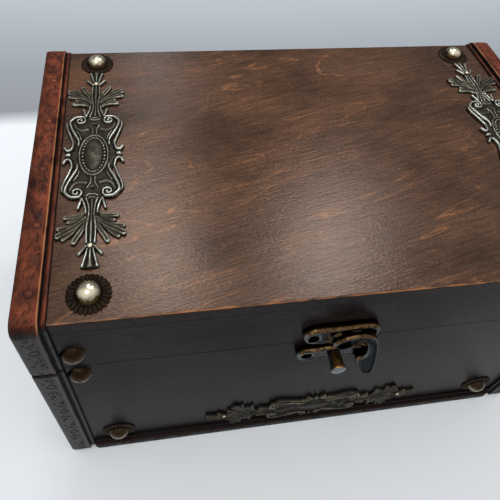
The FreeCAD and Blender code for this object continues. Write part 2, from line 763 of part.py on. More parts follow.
def hinges(screw, screw_hole):
    """Two butt hinges; returns the screws' places on the lid and the base."""
    third = 1 / 6
    outer = ((-0.5, -third), (third, 0.5))
    inner = ((-third, third),)
    leaves = (
        ("base", -1, outer, "pin_diameter"),
        ("lid", 1, inner, "pin_diameter + 2 * running_clearance"),
    )
    screws = {"base": [], "lid": []}
    for side, place_sign in (("left", "-"), ("right", "")):
        middle = f"{place_sign}{HINGE_SIDE}"
        for part, sign, knuckles, bore in leaves:
            leaf = hinge_leaf(f"{side}_{part}_leaf", sign, knuckles, bore)
            spot = (middle, "box_depth / 2", PIN_HEIGHT)
            set_leaf = copies(f"{side}_{part}_set", leaf, [(spot, BACK)])
            height = f"{PIN_HEIGHT} + {sign} * screw_drop"
            front = "box_depth / 2 + leaf_thickness"
            spots = [((f"{middle} {hand} hinge_screws / 2", front, height), BACK) for hand in "-+"]
            screws[part] += spots
            label = f"hinge_{side}_{part}_leaf"
            node(drilled(f"{label}_drilled", set_leaf, screw_hole, spots), label)
        start = (f"{middle} - hinge_length / 2", f"box_depth / 2 + {PIN_OFFSET}", PIN_HEIGHT)
        node(rod(f"{side}_pin", "pin_diameter", "hinge_length", start, ALONG_X), f"hinge_{side}_pin")
    for part, spots in screws.items():
        node(copies(f"{part}_hinge_screws", screw, spots), f"hinge_{part}_screws")
    return screws["lid"], screws["base"]


# Where the mounts and nails go

def mount_places():
    """Places of the washers, studs and stamped mounts on the lid and on the base."""
    front = "-box_depth / 2"
    lid_rosettes = []
    base_rosettes = []
    lid_studs = []
    base_studs = []
    for side in SIDES:
        washer_x = f"{side} * {WASHER_SIDE}"
        stud_x = f"{side} * {STUD_SIDE}"
        lid_rosettes += [((washer_x, f"{end} * {WASHER_REACH}", LID_TOP), UP) for end in SIDES]
        base_rosettes.append(((washer_x, front, "rosette_rise"), FRONT))
        lid_studs.append(((stud_x, front, "base_height + stud_above"), FRONT))
        base_studs.append(((stud_x, front, "base_height - stud_below"), FRONT))
    return lid_rosettes, base_rosettes, lid_studs, base_studs


def above(places, lift):
    """The same places, each lifted along the way it faces."""
    raised = []
    for (x, y, z), facing in places:
        out = facing.multVec(Vector(0, 0, 1))
        raised.append(((x, f"{y} + {round(out.y)} * {lift}", f"{z} + {round(out.z)} * {lift}"), facing))
    return raised


def stamped_mounts():
    """Stamped mounts on the lid and the front; returns where their tacks sit."""
    pattern = ornament()
    seat = "(ornament_plate + 0.3 * (ornament_relief - ornament_plate))"
    tack_reach = f"{TACK_SPOT} * {MOUNT_Y}"
    lid_tacks = []
    for side, sign in (("left", -1), ("right", 1)):
        spot = (f"{sign} * {WASHER_SIDE}", "ornament_shift", LID_TOP)
        label = f"lid_{side}_ornament"
        node(copies(f"{side}_mount", pattern, [(spot, UP)]), label)
        for way in SIDES:
            y = f"ornament_shift + {way} * {tack_reach}"
            lid_tacks.append(((spot[0], y, f"{LID_TOP} + {seat}"), UP))
    height = "(plinth_height + ornament_width / 2 + fit)"
    face = "-box_depth / 2"
    spot = ("front_shift", face, height)
    node(copies("front_mount", pattern, [(spot, FRONT * QUARTER_TURN)]), "front_ornament")
    front_tacks = []
    for way in SIDES:
        x = f"front_shift + {way} * {tack_reach}"
        front_tacks.append(((x, f"{face} - {seat}", height), FRONT))
    return lid_tacks, front_tacks


def write_parts():
    """Check every object, then write one file for each node."""
    doc.recompute()
    broken = [thing.Name for thing in doc.Objects if {"Invalid", "Error"} & set(thing.State)]
    if broken:
        raise RuntimeError(f"objects failed: {broken}")
    for piece in nodes:
        if piece.Shape.isNull() or not piece.Shape.isValid() or not piece.Shape.Solids:
            raise RuntimeError(f"{piece.Label} has no valid solid")
    os.makedirs("parts", exist_ok=True)
    for piece in nodes:
        piece.Shape.exportStep(f"parts/{piece.Label}.step")
        print(f"{piece.Label}: {len(piece.Shape.Solids)} solids, {piece.Shape.Volume:.1f} mm3")


def main():
    """Build the chest piece by piece."""
    make_sheet()
    nail = dome_nail()
    nail_hole = rod("nail_hole", "nail_shank", "nail_length", ("0", "0", "-nail_length"))
    small_tack = tack()
    tack_hole = rod("tack_hole", "tack_shank", "tack_length", ("0", "0", "-tack_length"))
    screw = countersunk("screw", "0")
    screw_hole = countersunk("screw_hole", "running_clearance")

    bands()
    plinths()
    lid_rosettes, base_rosettes, lid_studs, base_studs = mount_places()
    washer = rosette()
    node(copies("rosettes_on_lid", washer, lid_rosettes), "lid_rosettes")
    node(copies("rosettes_on_base", washer, base_rosettes), "base_rosettes")
    lid_nails = above(lid_rosettes, "rosette_thickness")
    base_nails = above(base_rosettes, "rosette_thickness")
    node(copies("nails_on_lid", nail, lid_nails), "lid_rosette_nails")
    node(copies("nails_on_base", nail, base_nails), "base_rosette_nails")
    node(copies("studs_on_lid", nail, lid_studs), "lid_studs")
    node(copies("studs_on_base", nail, base_studs), "base_studs")

    lid_tacks, front_tacks = stamped_mounts()
    node(copies("tacks_on_lid", small_tack, lid_tacks), "lid_ornament_nails")
    node(copies("tacks_on_front", small_tack, front_tacks), "front_ornament_nails")
    latch_lid_screws, latch_base_screws = latch(screw, screw_hole)
    hinge_lid_screws, hinge_base_screws = hinges(screw, screw_hole)

    base_front, base_back = base_boards()
    front = drilled("base_front_nailed", base_front, nail_hole, base_nails + base_studs)
    front = drilled("base_front_tacked", front, tack_hole, front_tacks)
    node(drilled("base_front_screwed", front, screw_hole, latch_base_screws), "base_front_panel")
    node(drilled("base_back_screwed", base_back, screw_hole, hinge_base_screws), "base_back_panel")

    lid_front, lid_back = lid_boards()
    front = drilled("lid_front_nailed", lid_front, nail_hole, lid_studs)
    node(drilled("lid_front_screwed", front, screw_hole, latch_lid_screws), "lid_front_rail")
    node(drilled("lid_back_screwed", lid_back, screw_hole, hinge_lid_screws), "lid_back_rail")
    top = drilled("lid_top_nailed", lid_board(), nail_hole, lid_nails)
    node(drilled("lid_top_tacked", top, tack_hole, lid_tacks), "lid_top")
    write_parts()


main()
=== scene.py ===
"""Dresses the small wooden chest: stained wood, embossed bands, stamped mounts and a horn latch.

Frame: X to the right, Y to the back, Z up. Lengths in the pieces' code are millimetres.
"""

import math

import bpy
import numpy as np
from mathutils import Matrix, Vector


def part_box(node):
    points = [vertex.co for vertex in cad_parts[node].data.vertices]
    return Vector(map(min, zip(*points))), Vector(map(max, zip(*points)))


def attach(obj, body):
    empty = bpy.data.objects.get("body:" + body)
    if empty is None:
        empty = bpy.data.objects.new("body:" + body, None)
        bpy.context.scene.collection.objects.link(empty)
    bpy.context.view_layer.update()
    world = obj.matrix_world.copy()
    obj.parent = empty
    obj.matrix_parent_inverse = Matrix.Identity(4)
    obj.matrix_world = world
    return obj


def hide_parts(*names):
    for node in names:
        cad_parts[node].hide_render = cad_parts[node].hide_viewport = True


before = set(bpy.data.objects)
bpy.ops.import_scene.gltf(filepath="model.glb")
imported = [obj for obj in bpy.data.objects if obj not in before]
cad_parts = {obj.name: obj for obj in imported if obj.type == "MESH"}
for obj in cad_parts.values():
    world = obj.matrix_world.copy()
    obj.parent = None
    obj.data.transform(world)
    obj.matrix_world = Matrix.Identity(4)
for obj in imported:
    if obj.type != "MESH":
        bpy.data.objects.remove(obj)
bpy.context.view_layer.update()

bl_info = {
    "name": "Wooden Chest Dressing",
    "version": (1, 0, 0),
    "blender": (4, 5, 0),
    "location": "View3D > Sidebar > Chest",
    "description": "Finishes and relief for a small wooden chest with embossed bands",
    "category": "Add Mesh",
}

MM = 0.001
SIDES = {"left": -1, "right": 1}


def linear(colour):
    """Linear RGBA of an sRGB hex colour."""
    shares = [int(colour[i:i + 2], 16) / 255 for i in (1, 3, 5)]
    return (*[c / 12.92 if c <= 0.04045 else ((c + 0.055) / 1.055) ** 2.4 for c in shares], 1.0)


def box_mm(name):
    """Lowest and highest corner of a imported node, in millimetres."""
    return [np.array(corner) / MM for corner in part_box(name)]


# Places read from the frame
LID_LOW, LID_HIGH = box_mm("lid_top")
BAND_LOW, BAND_HIGH = box_mm("lid_right_band")
BASE_BAND_HIGH = box_mm("base_right_band")[1]
PLINTH_LOW, PLINTH_HIGH = box_mm("front_plinth")
FRONT_MOUNT_LOW, FRONT_MOUNT_HIGH = box_mm("front_ornament")
ROSETTE_LOW, ROSETTE_HIGH = box_mm("lid_rosettes")
BASE_ROSETTE_LOW, BASE_ROSETTE_HIGH = box_mm("base_rosettes")
WOOD_HALF_DEPTH = LID_HIGH[1]
LID_TOP = LID_HIGH[2]
LID_JOINT = LID_LOW[2]
BAND_FOOT = BAND_LOW[0]
BAND_WIDTH = BAND_HIGH[0] - BAND_FOOT
BAND_PROUD = BAND_HIGH[2] - LID_TOP
WALL_INSIDE = box_mm("base_back_panel")[0][1]
END_INSIDE = box_mm("base_right_end")[0][0]
FLOOR_BOARD = box_mm("base_bottom")[1][2]


class ChestRelief(bpy.types.PropertyGroup):
    """Sizes of the relief on bands, mounts and washers."""

    emboss_pitch: bpy.props.FloatProperty(
        name="Emboss Pitch", description="Distance from one ring of the band's pattern to the next",
        default=30.5 * MM, min=12 * MM, max=80 * MM, subtype="DISTANCE", unit="LENGTH")
    emboss_depth: bpy.props.FloatProperty(
        name="Emboss Depth", description="Depth of the band's pressed pattern",
        default=0.3 * MM, min=0.0, max=0.6 * MM, subtype="DISTANCE", unit="LENGTH")
    mesh_step: bpy.props.FloatProperty(
        name="Mesh Step", description="Spacing of the points that carry the relief",
        default=0.3 * MM, min=0.15 * MM, max=1 * MM, subtype="DISTANCE", unit="LENGTH")
    edge_round: bpy.props.FloatProperty(
        name="Lid Edge", description="Rounding of the lid board's upper edges",
        default=0.8 * MM, min=0.1 * MM, max=3 * MM, subtype="DISTANCE", unit="LENGTH")
    petals: bpy.props.IntProperty(
        name="Petals", description="Petals round a washer", default=26, min=8, max=40)
    beads: bpy.props.IntProperty(
        name="Beads", description="Beads round a mount's medallion", default=30, min=12, max=80)


class ChestFinish(bpy.types.PropertyGroup):
    """Colours of the chest's finishes."""

    lid_stain: bpy.props.FloatVectorProperty(
        name="Lid Stain", description="Main colour of the lid's stained board", size=4,
        default=linear("#4e3526"), min=0.0, max=1.0, subtype="COLOR")
    lid_flame: bpy.props.FloatVectorProperty(
        name="Lid Flame", description="Bare orange streaks in the lid's grain", size=4,
        default=linear("#a0683f"), min=0.0, max=1.0, subtype="COLOR")
    # The walls' near-black is partly their dark stain and partly painted shade of the front
    wall_stain_and_shade: bpy.props.FloatVectorProperty(
        name="Wall Stain", description="Main colour of the walls", size=4,
        default=linear("#1e1a19"), min=0.0, max=1.0, subtype="COLOR")
    inside_wood: bpy.props.FloatVectorProperty(
        name="Inside", description="Bare wood inside the chest", size=4,
        default=linear("#8d6a4b"), min=0.0, max=1.0, subtype="COLOR")
    leather: bpy.props.FloatVectorProperty(
        name="Band Leather", description="Main colour of the embossed bands", size=4,
        default=linear("#713722"), min=0.0, max=1.0, subtype="COLOR")
    leather_rubbed: bpy.props.FloatVectorProperty(
        name="Rubbed Leather", description="Rubbed edges of the embossed bands", size=4,
        default=linear("#a9724c"), min=0.0, max=1.0, subtype="COLOR")
    bronze: bpy.props.FloatVectorProperty(
        name="Mount Bronze", description="Dark ground of the stamped mounts", size=4,
        default=linear("#413b31"), min=0.0, max=1.0, subtype="COLOR")
    bronze_rubbed: bpy.props.FloatVectorProperty(
        name="Rubbed Bronze", description="Bright ridges of the stamped mounts", size=4,
        default=linear("#bfc2b6"), min=0.0, max=1.0, subtype="COLOR")
    brass: bpy.props.FloatVectorProperty(
        name="Nail Brass", description="Pale brass of the domed nails", size=4,
        default=linear("#e2d6b8"), min=0.0, max=1.0, subtype="COLOR")


class ChestStage(bpy.types.PropertyGroup):
    """Floor, lamps and camera."""

    floor: bpy.props.FloatVectorProperty(
        name="Floor", description="Pale sheet under the chest", size=4,
        default=linear("#f1f3f5"), min=0.0, max=1.0, subtype="COLOR")
    table: bpy.props.FloatVectorProperty(
        name="Table", description="Blue-grey ground behind the sheet", size=4,
        default=linear("#94989c"), min=0.0, max=1.0, subtype="COLOR")
    lamp_power: bpy.props.FloatProperty(
        name="Lamp Power", description="Power of a window lamp; the other lamps have a share of it",
        default=1.2, min=0.0, max=200.0, subtype="POWER", unit="POWER")
    sky: bpy.props.FloatProperty(
        name="Sky", description="Strength of the even light from all round",
        default=1.0, min=0.0, max=3.0, subtype="FACTOR")


# Lines and relief

def line_through(*points, steps=8):
    """Smooth line through a few points."""
    spots = np.array([points[0], *points, points[-1]], float)
    t = np.linspace(0, 1, steps, endpoint=False)[:, None]
    runs = []
    for before, start, end, after in zip(spots, spots[1:], spots[2:], spots[3:]):
        runs.append(0.5 * (2 * start + (end - before) * t
                           + (2 * before - 5 * start + 4 * end - after) * t ** 2
                           + (3 * start - before - 3 * end + after) * t ** 3))
    return np.vstack(runs + [spots[-1:]])


def scroll_line(centre, radii, turn, steps=40):
    """Spiral from its outer to its inner radius; turn holds the first and last angle in degrees."""
    share = np.linspace(0, 1, steps)
    angle = np.radians(turn[0] + (turn[1] - turn[0]) * share)
    radius = radii[0] + (radii[1] - radii[0]) * share
    return np.stack([centre[0] + radius * np.cos(angle), centre[1] + radius * np.sin(angle)], axis=1)


def nearest(u, v, line):
    """Distance of points from a line, and the share of its length at which they are nearest."""
    best = np.full(u.shape, np.inf)
    along = np.zeros(u.shape)
    for index, (start, end) in enumerate(zip(line, line[1:])):
        run = end - start
        t = np.clip(((u - start[0]) * run[0] + (v - start[1]) * run[1]) / (run @ run), 0, 1)
        distance = np.hypot(u - start[0] - t * run[0], v - start[1] - t * run[1])
        nearer = distance < best
        best = np.where(nearer, distance, best)
        along = np.where(nearer, (index + t) / (len(line) - 1), along)
    return best, along


def ridge(u, v, line, widths, dished=0.0):
    """Rise, 0 to 1, of a rounded or dished ridge along a line, and the distance outside its edge.

    Widths are the ridge's half widths at its start, middle and end.
    """
    distance, along = nearest(u, v, line)
    half = np.interp(along, (0, 0.5, 1), widths)
    share = np.clip(distance / half, 0, 1)
    rise = np.sqrt(1 - share ** 2) * (1 - dished * np.cos(share * math.pi / 2) ** 2)
    return rise, distance - half


def blurred(field, reach):
    """Mean of a field over a square that reaches so many points each way."""
    for axis in (0, 1):
        padded = np.concatenate([np.repeat(np.take(field, [0], axis), reach + 1, axis), field,
                                 np.repeat(np.take(field, [-1], axis), reach, axis)], axis)
        total = np.cumsum(padded, axis)
        count = field.shape[axis]
        width = 2 * reach + 1
        low = np.take(total, range(count), axis)
        high = np.take(total, range(width, width + count), axis)
        field = (high - low) / width
    return field


def new_piece(name, points, faces, wear, body, finish, stands_for):
    """Mesh piece with its rub attribute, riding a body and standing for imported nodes."""
    mesh = bpy.data.meshes.new(name)
    mesh.from_pydata((np.asarray(points) * MM).tolist(), [], faces)
    mesh.validate()
    mesh.shade_smooth()
    rub = mesh.attributes.new("rub", "FLOAT", "POINT")
    rub.data.foreach_set("value", np.asarray(wear, np.float32).ravel())
    mesh.materials.append(FINISHES[finish])
    piece = bpy.data.objects.new(name, mesh)
    bpy.context.scene.collection.objects.link(piece)
    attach(piece, body)
    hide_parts(*stands_for)
    return piece


def placed(points, middle, standing):
    """Points of a flat piece, as across, along and up, laid on the lid or standing on the front."""
    across, along, up = points.T
    return np.column_stack([across, -up, along] if standing else [across, along, up]) + middle


def grid_faces(rows, columns):
    """Four-sided faces of a grid of points that is closed across its columns."""
    faces = []
    for row in range(rows - 1):
        low, high = row * columns, (row + 1) * columns
        for column in range(columns):
            beside = (column + 1) % columns
            faces.append((low + column, low + beside, high + beside, high + column))
    return faces


def capped_faces(rows, columns):
    """Faces of a strip made of rows of points round its section, closed at both ends."""
    last = (rows - 1) * columns
    caps = [tuple(reversed(range(columns))), tuple(range(last, last + columns))]
    return grid_faces(rows, columns) + caps


def turned_over(faces):
    """The same faces, looking the other way."""
    return [tuple(reversed(face)) for face in faces]


# Node trees

# Settings of a Mix node that blends two colours, and of one that multiplies them
BLEND = {"data_type": "RGBA"}
MULTIPLY = {**BLEND, "blend_type": "MULTIPLY"}


def add(tree, kind, inputs=(), stops=(), **settings):
    """Adds a node with its settings, its inputs and a ramp's stops.

    Inputs are given in the order of the sockets, or by socket. Each is a constant, a socket, or a
    node, which stands for its first active output.
    """
    made = tree.nodes.new(kind)
    for name, value in settings.items():
        setattr(made, name, value)
    for key, value in inputs.items() if isinstance(inputs, dict) else enumerate(inputs):
        if isinstance(value, bpy.types.Node):
            value = next(socket for socket in value.outputs if socket.enabled)
        if isinstance(value, bpy.types.NodeSocket):
            tree.links.new(value, made.inputs[key])
        else:
            made.inputs[key].default_value = value
    if stops:
        ramp = made.color_ramp.elements
        while len(ramp) < len(stops):
            ramp.new(1.0)
        for element, (position, colour) in zip(ramp, stops):
            element.position = position
            element.color = colour
    return made


def grey(value):
    """Grey of one linear level."""
    return (value, value, value, 1.0)


def shade(colour, factor):
    """A colour made lighter or darker by a factor."""
    return (*[min(1.0, c * factor) for c in colour[:3]], 1.0)


def per_mm(*sizes):
    """Pattern scale, per metre, of a pattern whose features have these sizes in millimetres."""
    return tuple(1 / (size * MM) for size in sizes)


def new_material(name):
    """Empty node material and its tree."""
    material = bpy.data.materials.new(name)
    material.use_nodes = True
    material.node_tree.nodes.clear()
    return material, material.node_tree


def surfaced(material, inputs):
    """The material, given a Principled shader with these inputs."""
    shader = add(material.node_tree, "ShaderNodeBsdfPrincipled", inputs)
    add(material.node_tree, "ShaderNodeOutputMaterial", (shader,))
    return material


def unsteady(tree, level, noise, amount):
    """A level that a noise moves up and down by an amount."""
    jitter = add(tree, "ShaderNodeMath", (noise, 0.5), operation="SUBTRACT")
    return add(tree, "ShaderNodeMath", (jitter, amount, level), operation="MULTIPLY_ADD")


# Turn of the stained boards' grain in degrees, and how far beyond a wall's inner face counts as inside
GRAIN_TURN, INSIDE_MARGIN = -13, 0.5


def stained_plywood(name, stain, flame, streaks, side, inside, lacquer):
    """Birch plywood, spirit stained by hand and satin lacquered.

    The eye sees long fibres, flame-shaped figure where the stain is thin, smoky patches of
    uneven stain, pale rubbed edges and a soft sheen. Upright faces take the darker side
    colour, which is painted shade.
    """
    material, tree = new_material(name)
    place = add(tree, "ShaderNodeTexCoord").outputs
    spot = place["Object"]
    tilt = add(tree, "ShaderNodeMapping", {"Vector": spot, "Rotation": (0.0, 0.0, math.radians(GRAIN_TURN))})

    # Fibres and pores are really 0.1 to 0.2 mm wide; they are drawn coarser so that they show
    noises = []
    for base, sizes, look in (
            (tilt, (14, 0.75, 0.75), {"Detail": 4.0, "Roughness": 0.65}),
            (tilt, (1.7, 0.8, 0.8), {"Detail": 2.0}),
            (tilt, (120, 26, 26), {"Detail": 5.0, "Roughness": 0.45, "Distortion": 0.5}),
            (spot, (55, 38, 38), {"Detail": 4.0, "Roughness": 0.55}),
            (spot, (9, 3, 3), {"Detail": 3.0})):
        scaled = add(tree, "ShaderNodeVectorMath", (base, per_mm(*sizes)), operation="MULTIPLY")
        noises.append(add(tree, "ShaderNodeTexNoise", {"Vector": scaled, "Scale": 1.0, **look}))
    fibre, speckle, flames, clouds, patches = noises

    # Flame figure: thin lines along the steps of a slow noise, and pale ground between some of them
    rings = add(tree, "ShaderNodeMath", (flames, 0.075), operation="PINGPONG")
    vein = add(tree, "ShaderNodeMapRange", (rings, 0.001, 0.007, streaks, 0.0))
    pale = add(tree, "ShaderNodeMapRange", (flames, 0.5, 0.8, 0.0, 0.4 * streaks))
    figure = add(tree, "ShaderNodeMath", (vein, pale), operation="MAXIMUM")

    # Uneven stain in smoky patches, which also hides the figure in places
    ground = add(tree, "ShaderNodeValToRGB", (clouds,), stops=(
        (0.3, shade(stain, 0.5)), (0.48, stain), (0.68, shade(stain, 1.35))))
    haze = add(tree, "ShaderNodeMapRange", (clouds, 0.44, 0.62, 0.12, 1.0))
    hazed = add(tree, "ShaderNodeMath", (figure, haze), operation="MULTIPLY")
    figured = add(tree, "ShaderNodeMix", {0: hazed, 6: ground, 7: flame}, **BLEND)
    fibred = add(tree, "ShaderNodeValToRGB", (fibre,), stops=(
        (0.34, grey(0.5)), (0.5, grey(1.0)), (0.66, grey(1.45))))
    speckled = add(tree, "ShaderNodeValToRGB", (speckle,), stops=(
        (0.32, grey(0.62)), (0.5, grey(1.0)), (0.68, grey(1.4))))
    grained = add(tree, "ShaderNodeMix", {0: 0.9, 6: figured, 7: fibred}, **MULTIPLY)
    wood = add(tree, "ShaderNodeMix", {0: 0.8, 6: grained, 7: speckled}, **MULTIPLY)

    # Upright faces take the darker side colour, which is painted shade, and are a little blotchy
    facing = add(tree, "ShaderNodeSeparateXYZ", (place["Normal"],)).outputs
    upward = add(tree, "ShaderNodeMapRange", (facing[2], 0.25, 0.75))
    blotches = add(tree, "ShaderNodeValToRGB", (clouds,), stops=(
        (0.34, grey(0.55)), (0.5, grey(1.0)), (0.66, grey(1.6))))
    blotched = add(tree, "ShaderNodeMix", {0: 1.0, 6: side, 7: blotches}, **MULTIPLY)
    dark = add(tree, "ShaderNodeMix", {0: 1.0, 6: blotched, 7: fibred}, **MULTIPLY)
    turned = add(tree, "ShaderNodeMix", {0: upward, 6: dark, 7: wood}, **BLEND)

    # Darker towards the ends and towards the front and back edges
    parts = add(tree, "ShaderNodeSeparateXYZ", (spot,)).outputs
    depth = add(tree, "ShaderNodeMath", (parts[1],), operation="ABSOLUTE")
    width = add(tree, "ShaderNodeMath", (parts[0],), operation="ABSOLUTE")
    ends = add(tree, "ShaderNodeMapRange", (width, 70 * MM, 118 * MM, 1.0, 0.86))
    edges = add(tree, "ShaderNodeMapRange", (depth, 55 * MM, 81 * MM, 1.0, 0.9))
    edge_darkening = add(tree, "ShaderNodeMath", (ends, edges), operation="MULTIPLY")
    edge_darkened = add(tree, "ShaderNodeMix", {0: 1.0, 6: turned, 7: edge_darkening}, **MULTIPLY)

    # Rubbed front and back edges of the lid, and the glue line under its board
    section = add(tree, "ShaderNodeCombineXYZ", {1: depth, 2: parts[2]})
    corner = (0.0, WOOD_HALF_DEPTH * MM, LID_TOP * MM)
    edge = add(tree, "ShaderNodeVectorMath", (section, corner), operation="DISTANCE")
    reach = add(tree, "ShaderNodeMapRange", (patches, 0.3, 0.7, 0.25 * MM, 1.0 * MM))
    rubbed = add(tree, "ShaderNodeMapRange", (edge, reach, 0.0, 0.0, 0.9))
    worn = add(tree, "ShaderNodeMix", {0: rubbed, 6: edge_darkened, 7: shade(flame, 1.6)}, **BLEND)
    above = add(tree, "ShaderNodeMath", (parts[2], LID_JOINT * MM), operation="SUBTRACT")
    away = add(tree, "ShaderNodeMath", (above,), operation="ABSOLUTE")
    crack = add(tree, "ShaderNodeMapRange", (away, 0.2 * MM, 0.5 * MM, 0.85, 0.0))
    jointed = add(tree, "ShaderNodeMix", {0: crack, 6: worn, 7: shade(stain, 0.15)}, **BLEND)

    # Bare wood inside
    limits = ((width, END_INSIDE), (depth, WALL_INSIDE), (parts[2], LID_JOINT))
    within = [add(tree, "ShaderNodeMath", (off, (limit + INSIDE_MARGIN) * MM), operation="LESS_THAN")
              for off, limit in limits]
    walled = add(tree, "ShaderNodeMath", within[:2], operation="MULTIPLY")
    hidden = add(tree, "ShaderNodeMath", (walled, within[2]), operation="MULTIPLY")
    bare = add(tree, "ShaderNodeMix", {0: 0.8, 6: inside, 7: fibred}, **MULTIPLY)
    lined = add(tree, "ShaderNodeMix", {0: hidden, 6: jointed, 7: bare}, **BLEND)

    gloss = add(tree, "ShaderNodeMapRange", (clouds, 0.3, 0.7, 0.15, 0.24))
    skin = add(tree, "ShaderNodeMath", (fibre, speckle), operation="ADD")
    pores = add(tree, "ShaderNodeBump", {"Strength": 0.42, "Distance": 0.16 * MM, "Height": skin})
    return surfaced(material, {
        "Base Color": lined, "Roughness": gloss, "Normal": pores, "IOR": 1.5,
        "Specular IOR Level": lacquer, "Specular Tint": linear("#ffe6d3")})


def bare_plywood(name, colour):
    """Poplar plywood, sanded and left bare: pale long fibres, a little grey dirt, no gloss."""
    material, tree = new_material(name)
    place = add(tree, "ShaderNodeTexCoord").outputs["Object"]
    along = add(tree, "ShaderNodeVectorMath", (place, per_mm(40, 1.1, 1.1)), operation="MULTIPLY")
    fibre = add(tree, "ShaderNodeTexNoise", {
        "Vector": along, "Scale": 1.0, "Detail": 4.0, "Distortion": 0.4})
    broad = add(tree, "ShaderNodeVectorMath", (place, per_mm(30, 22, 22)), operation="MULTIPLY")
    dirt = add(tree, "ShaderNodeTexNoise", {"Vector": broad, "Scale": 1.0, "Detail": 5.0})
    grain = add(tree, "ShaderNodeValToRGB", (fibre,), stops=(
        (0.3, shade(colour, 0.7)), (0.52, colour), (0.75, shade(colour, 1.2))))
    dirty = add(tree, "ShaderNodeValToRGB", (dirt,), stops=((0.35, grey(0.75)), (0.6, grey(1.0))))
    wood = add(tree, "ShaderNodeMix", {0: 0.7, 6: grain, 7: dirty}, **MULTIPLY)
    bump = add(tree, "ShaderNodeBump", {"Strength": 0.3, "Distance": 0.2 * MM, "Height": fibre})
    return surfaced(material, {"Base Color": wood, "Normal": bump, "Roughness": 0.72, "IOR": 1.5})


def embossed_leather(name, hide, upright_shade, rubbed):
    """Bonded leather, roller embossed, antiqued with dark wax and rubbed back.

    The eye sees red-brown high ground, near black wax in the hollows, tan where hands have
    rubbed the crest, and a fine grain with a dull shine. Upright faces are grey and the rounded
    corners near black: painted shade.
    """
    material, tree = new_material(name)
    place = add(tree, "ShaderNodeTexCoord").outputs
    rub = add(tree, "ShaderNodeAttribute", attribute_name="rub").outputs["Fac"]
    facing = add(tree, "ShaderNodeSeparateXYZ", (place["Normal"],)).outputs
    broad = add(tree, "ShaderNodeVectorMath", (place["Object"], per_mm(5, 9, 9)), operation="MULTIPLY")
    mottle = add(tree, "ShaderNodeTexNoise", {
        "Vector": broad, "Scale": 1.0, "Detail": 5.0, "Roughness": 0.65})
    # Upright faces grey, rounded corners near black, tops red-brown: painted shade by facing
    tint = add(tree, "ShaderNodeValToRGB", (facing[2],), stops=(
        (0.0, upright_shade), (0.25, shade(upright_shade, 0.3)), (0.72, shade(hide, 0.35)), (0.96, hide)))
    patches = add(tree, "ShaderNodeValToRGB", (mottle,), stops=(
        (0.32, grey(0.18)), (0.45, grey(0.62)), (0.56, grey(1.1)), (0.7, grey(1.7))))
    ground = add(tree, "ShaderNodeMix", {0: 1.0, 6: tint, 7: patches}, **MULTIPLY)
    height = add(tree, "ShaderNodeValToRGB", (rub,), stops=(
        (0.0, grey(0.02)), (0.12, grey(0.16)), (0.42, grey(0.72)), (0.6, grey(1.0))))
    waxed = add(tree, "ShaderNodeMix", {0: 1.0, 6: ground, 7: height}, **MULTIPLY)
    bare = add(tree, "ShaderNodeMapRange", (unsteady(tree, rub, mottle, 0.7), 0.7, 1.0, 0.0, 0.95))
    upward = add(tree, "ShaderNodeMapRange", (facing[2], 0.2, 0.7, 0.12, 1.0))
    handled = add(tree, "ShaderNodeMath", (bare, upward), operation="MULTIPLY")
    hided = add(tree, "ShaderNodeMix", {0: handled, 6: waxed, 7: rubbed}, **BLEND)

    # The hide's grain is really about 0.4 mm; it is drawn coarser so that it shows
    grain = add(tree, "ShaderNodeTexVoronoi", {
        "Vector": place["Object"], "Scale": per_mm(0.9)[0]}, feature="SMOOTH_F1")
    bump = add(tree, "ShaderNodeBump", {"Strength": 0.25, "Distance": 0.12 * MM, "Height": grain})
    gloss = add(tree, "ShaderNodeMapRange", (mottle, 0.3, 0.7, 0.36, 0.56))
    return surfaced(material, {
        "Base Color": hided, "Normal": bump, "Roughness": gloss, "IOR": 1.48,
        "Specular IOR Level": 0.13})


def antiqued_stamping(name, ground, rubbed, tint):
    """Stamped steel sheet, bronze plated, blackened in the hollows and polished on the ridges.

    The eye sees a dark brown-green ground, silvery ridges that catch the light and warm brown
    patches where the plating is thick.
    """
    material, tree = new_material(name)
    place = add(tree, "ShaderNodeTexCoord").outputs["Object"]
    rub = add(tree, "ShaderNodeAttribute", attribute_name="rub").outputs["Fac"]
    patina = add(tree, "ShaderNodeTexNoise", {
        "Vector": place, "Scale": per_mm(3.5)[0], "Detail": 5.0, "Roughness": 0.65})
    level = unsteady(tree, rub, patina, 0.55)
    metal = add(tree, "ShaderNodeValToRGB", (level,), stops=(
        (0.18, shade(ground, 0.3)), (0.42, ground), (0.62, shade(tint, 0.9)), (0.86, rubbed)))
    gloss = add(tree, "ShaderNodeMapRange", (level, 0.3, 0.9, 0.52, 0.26))
    pits = add(tree, "ShaderNodeBump", {"Strength": 0.2, "Distance": 0.1 * MM, "Height": patina})
    return surfaced(material, {
        "Base Color": metal, "Roughness": gloss, "Normal": pits, "Metallic": 0.9})


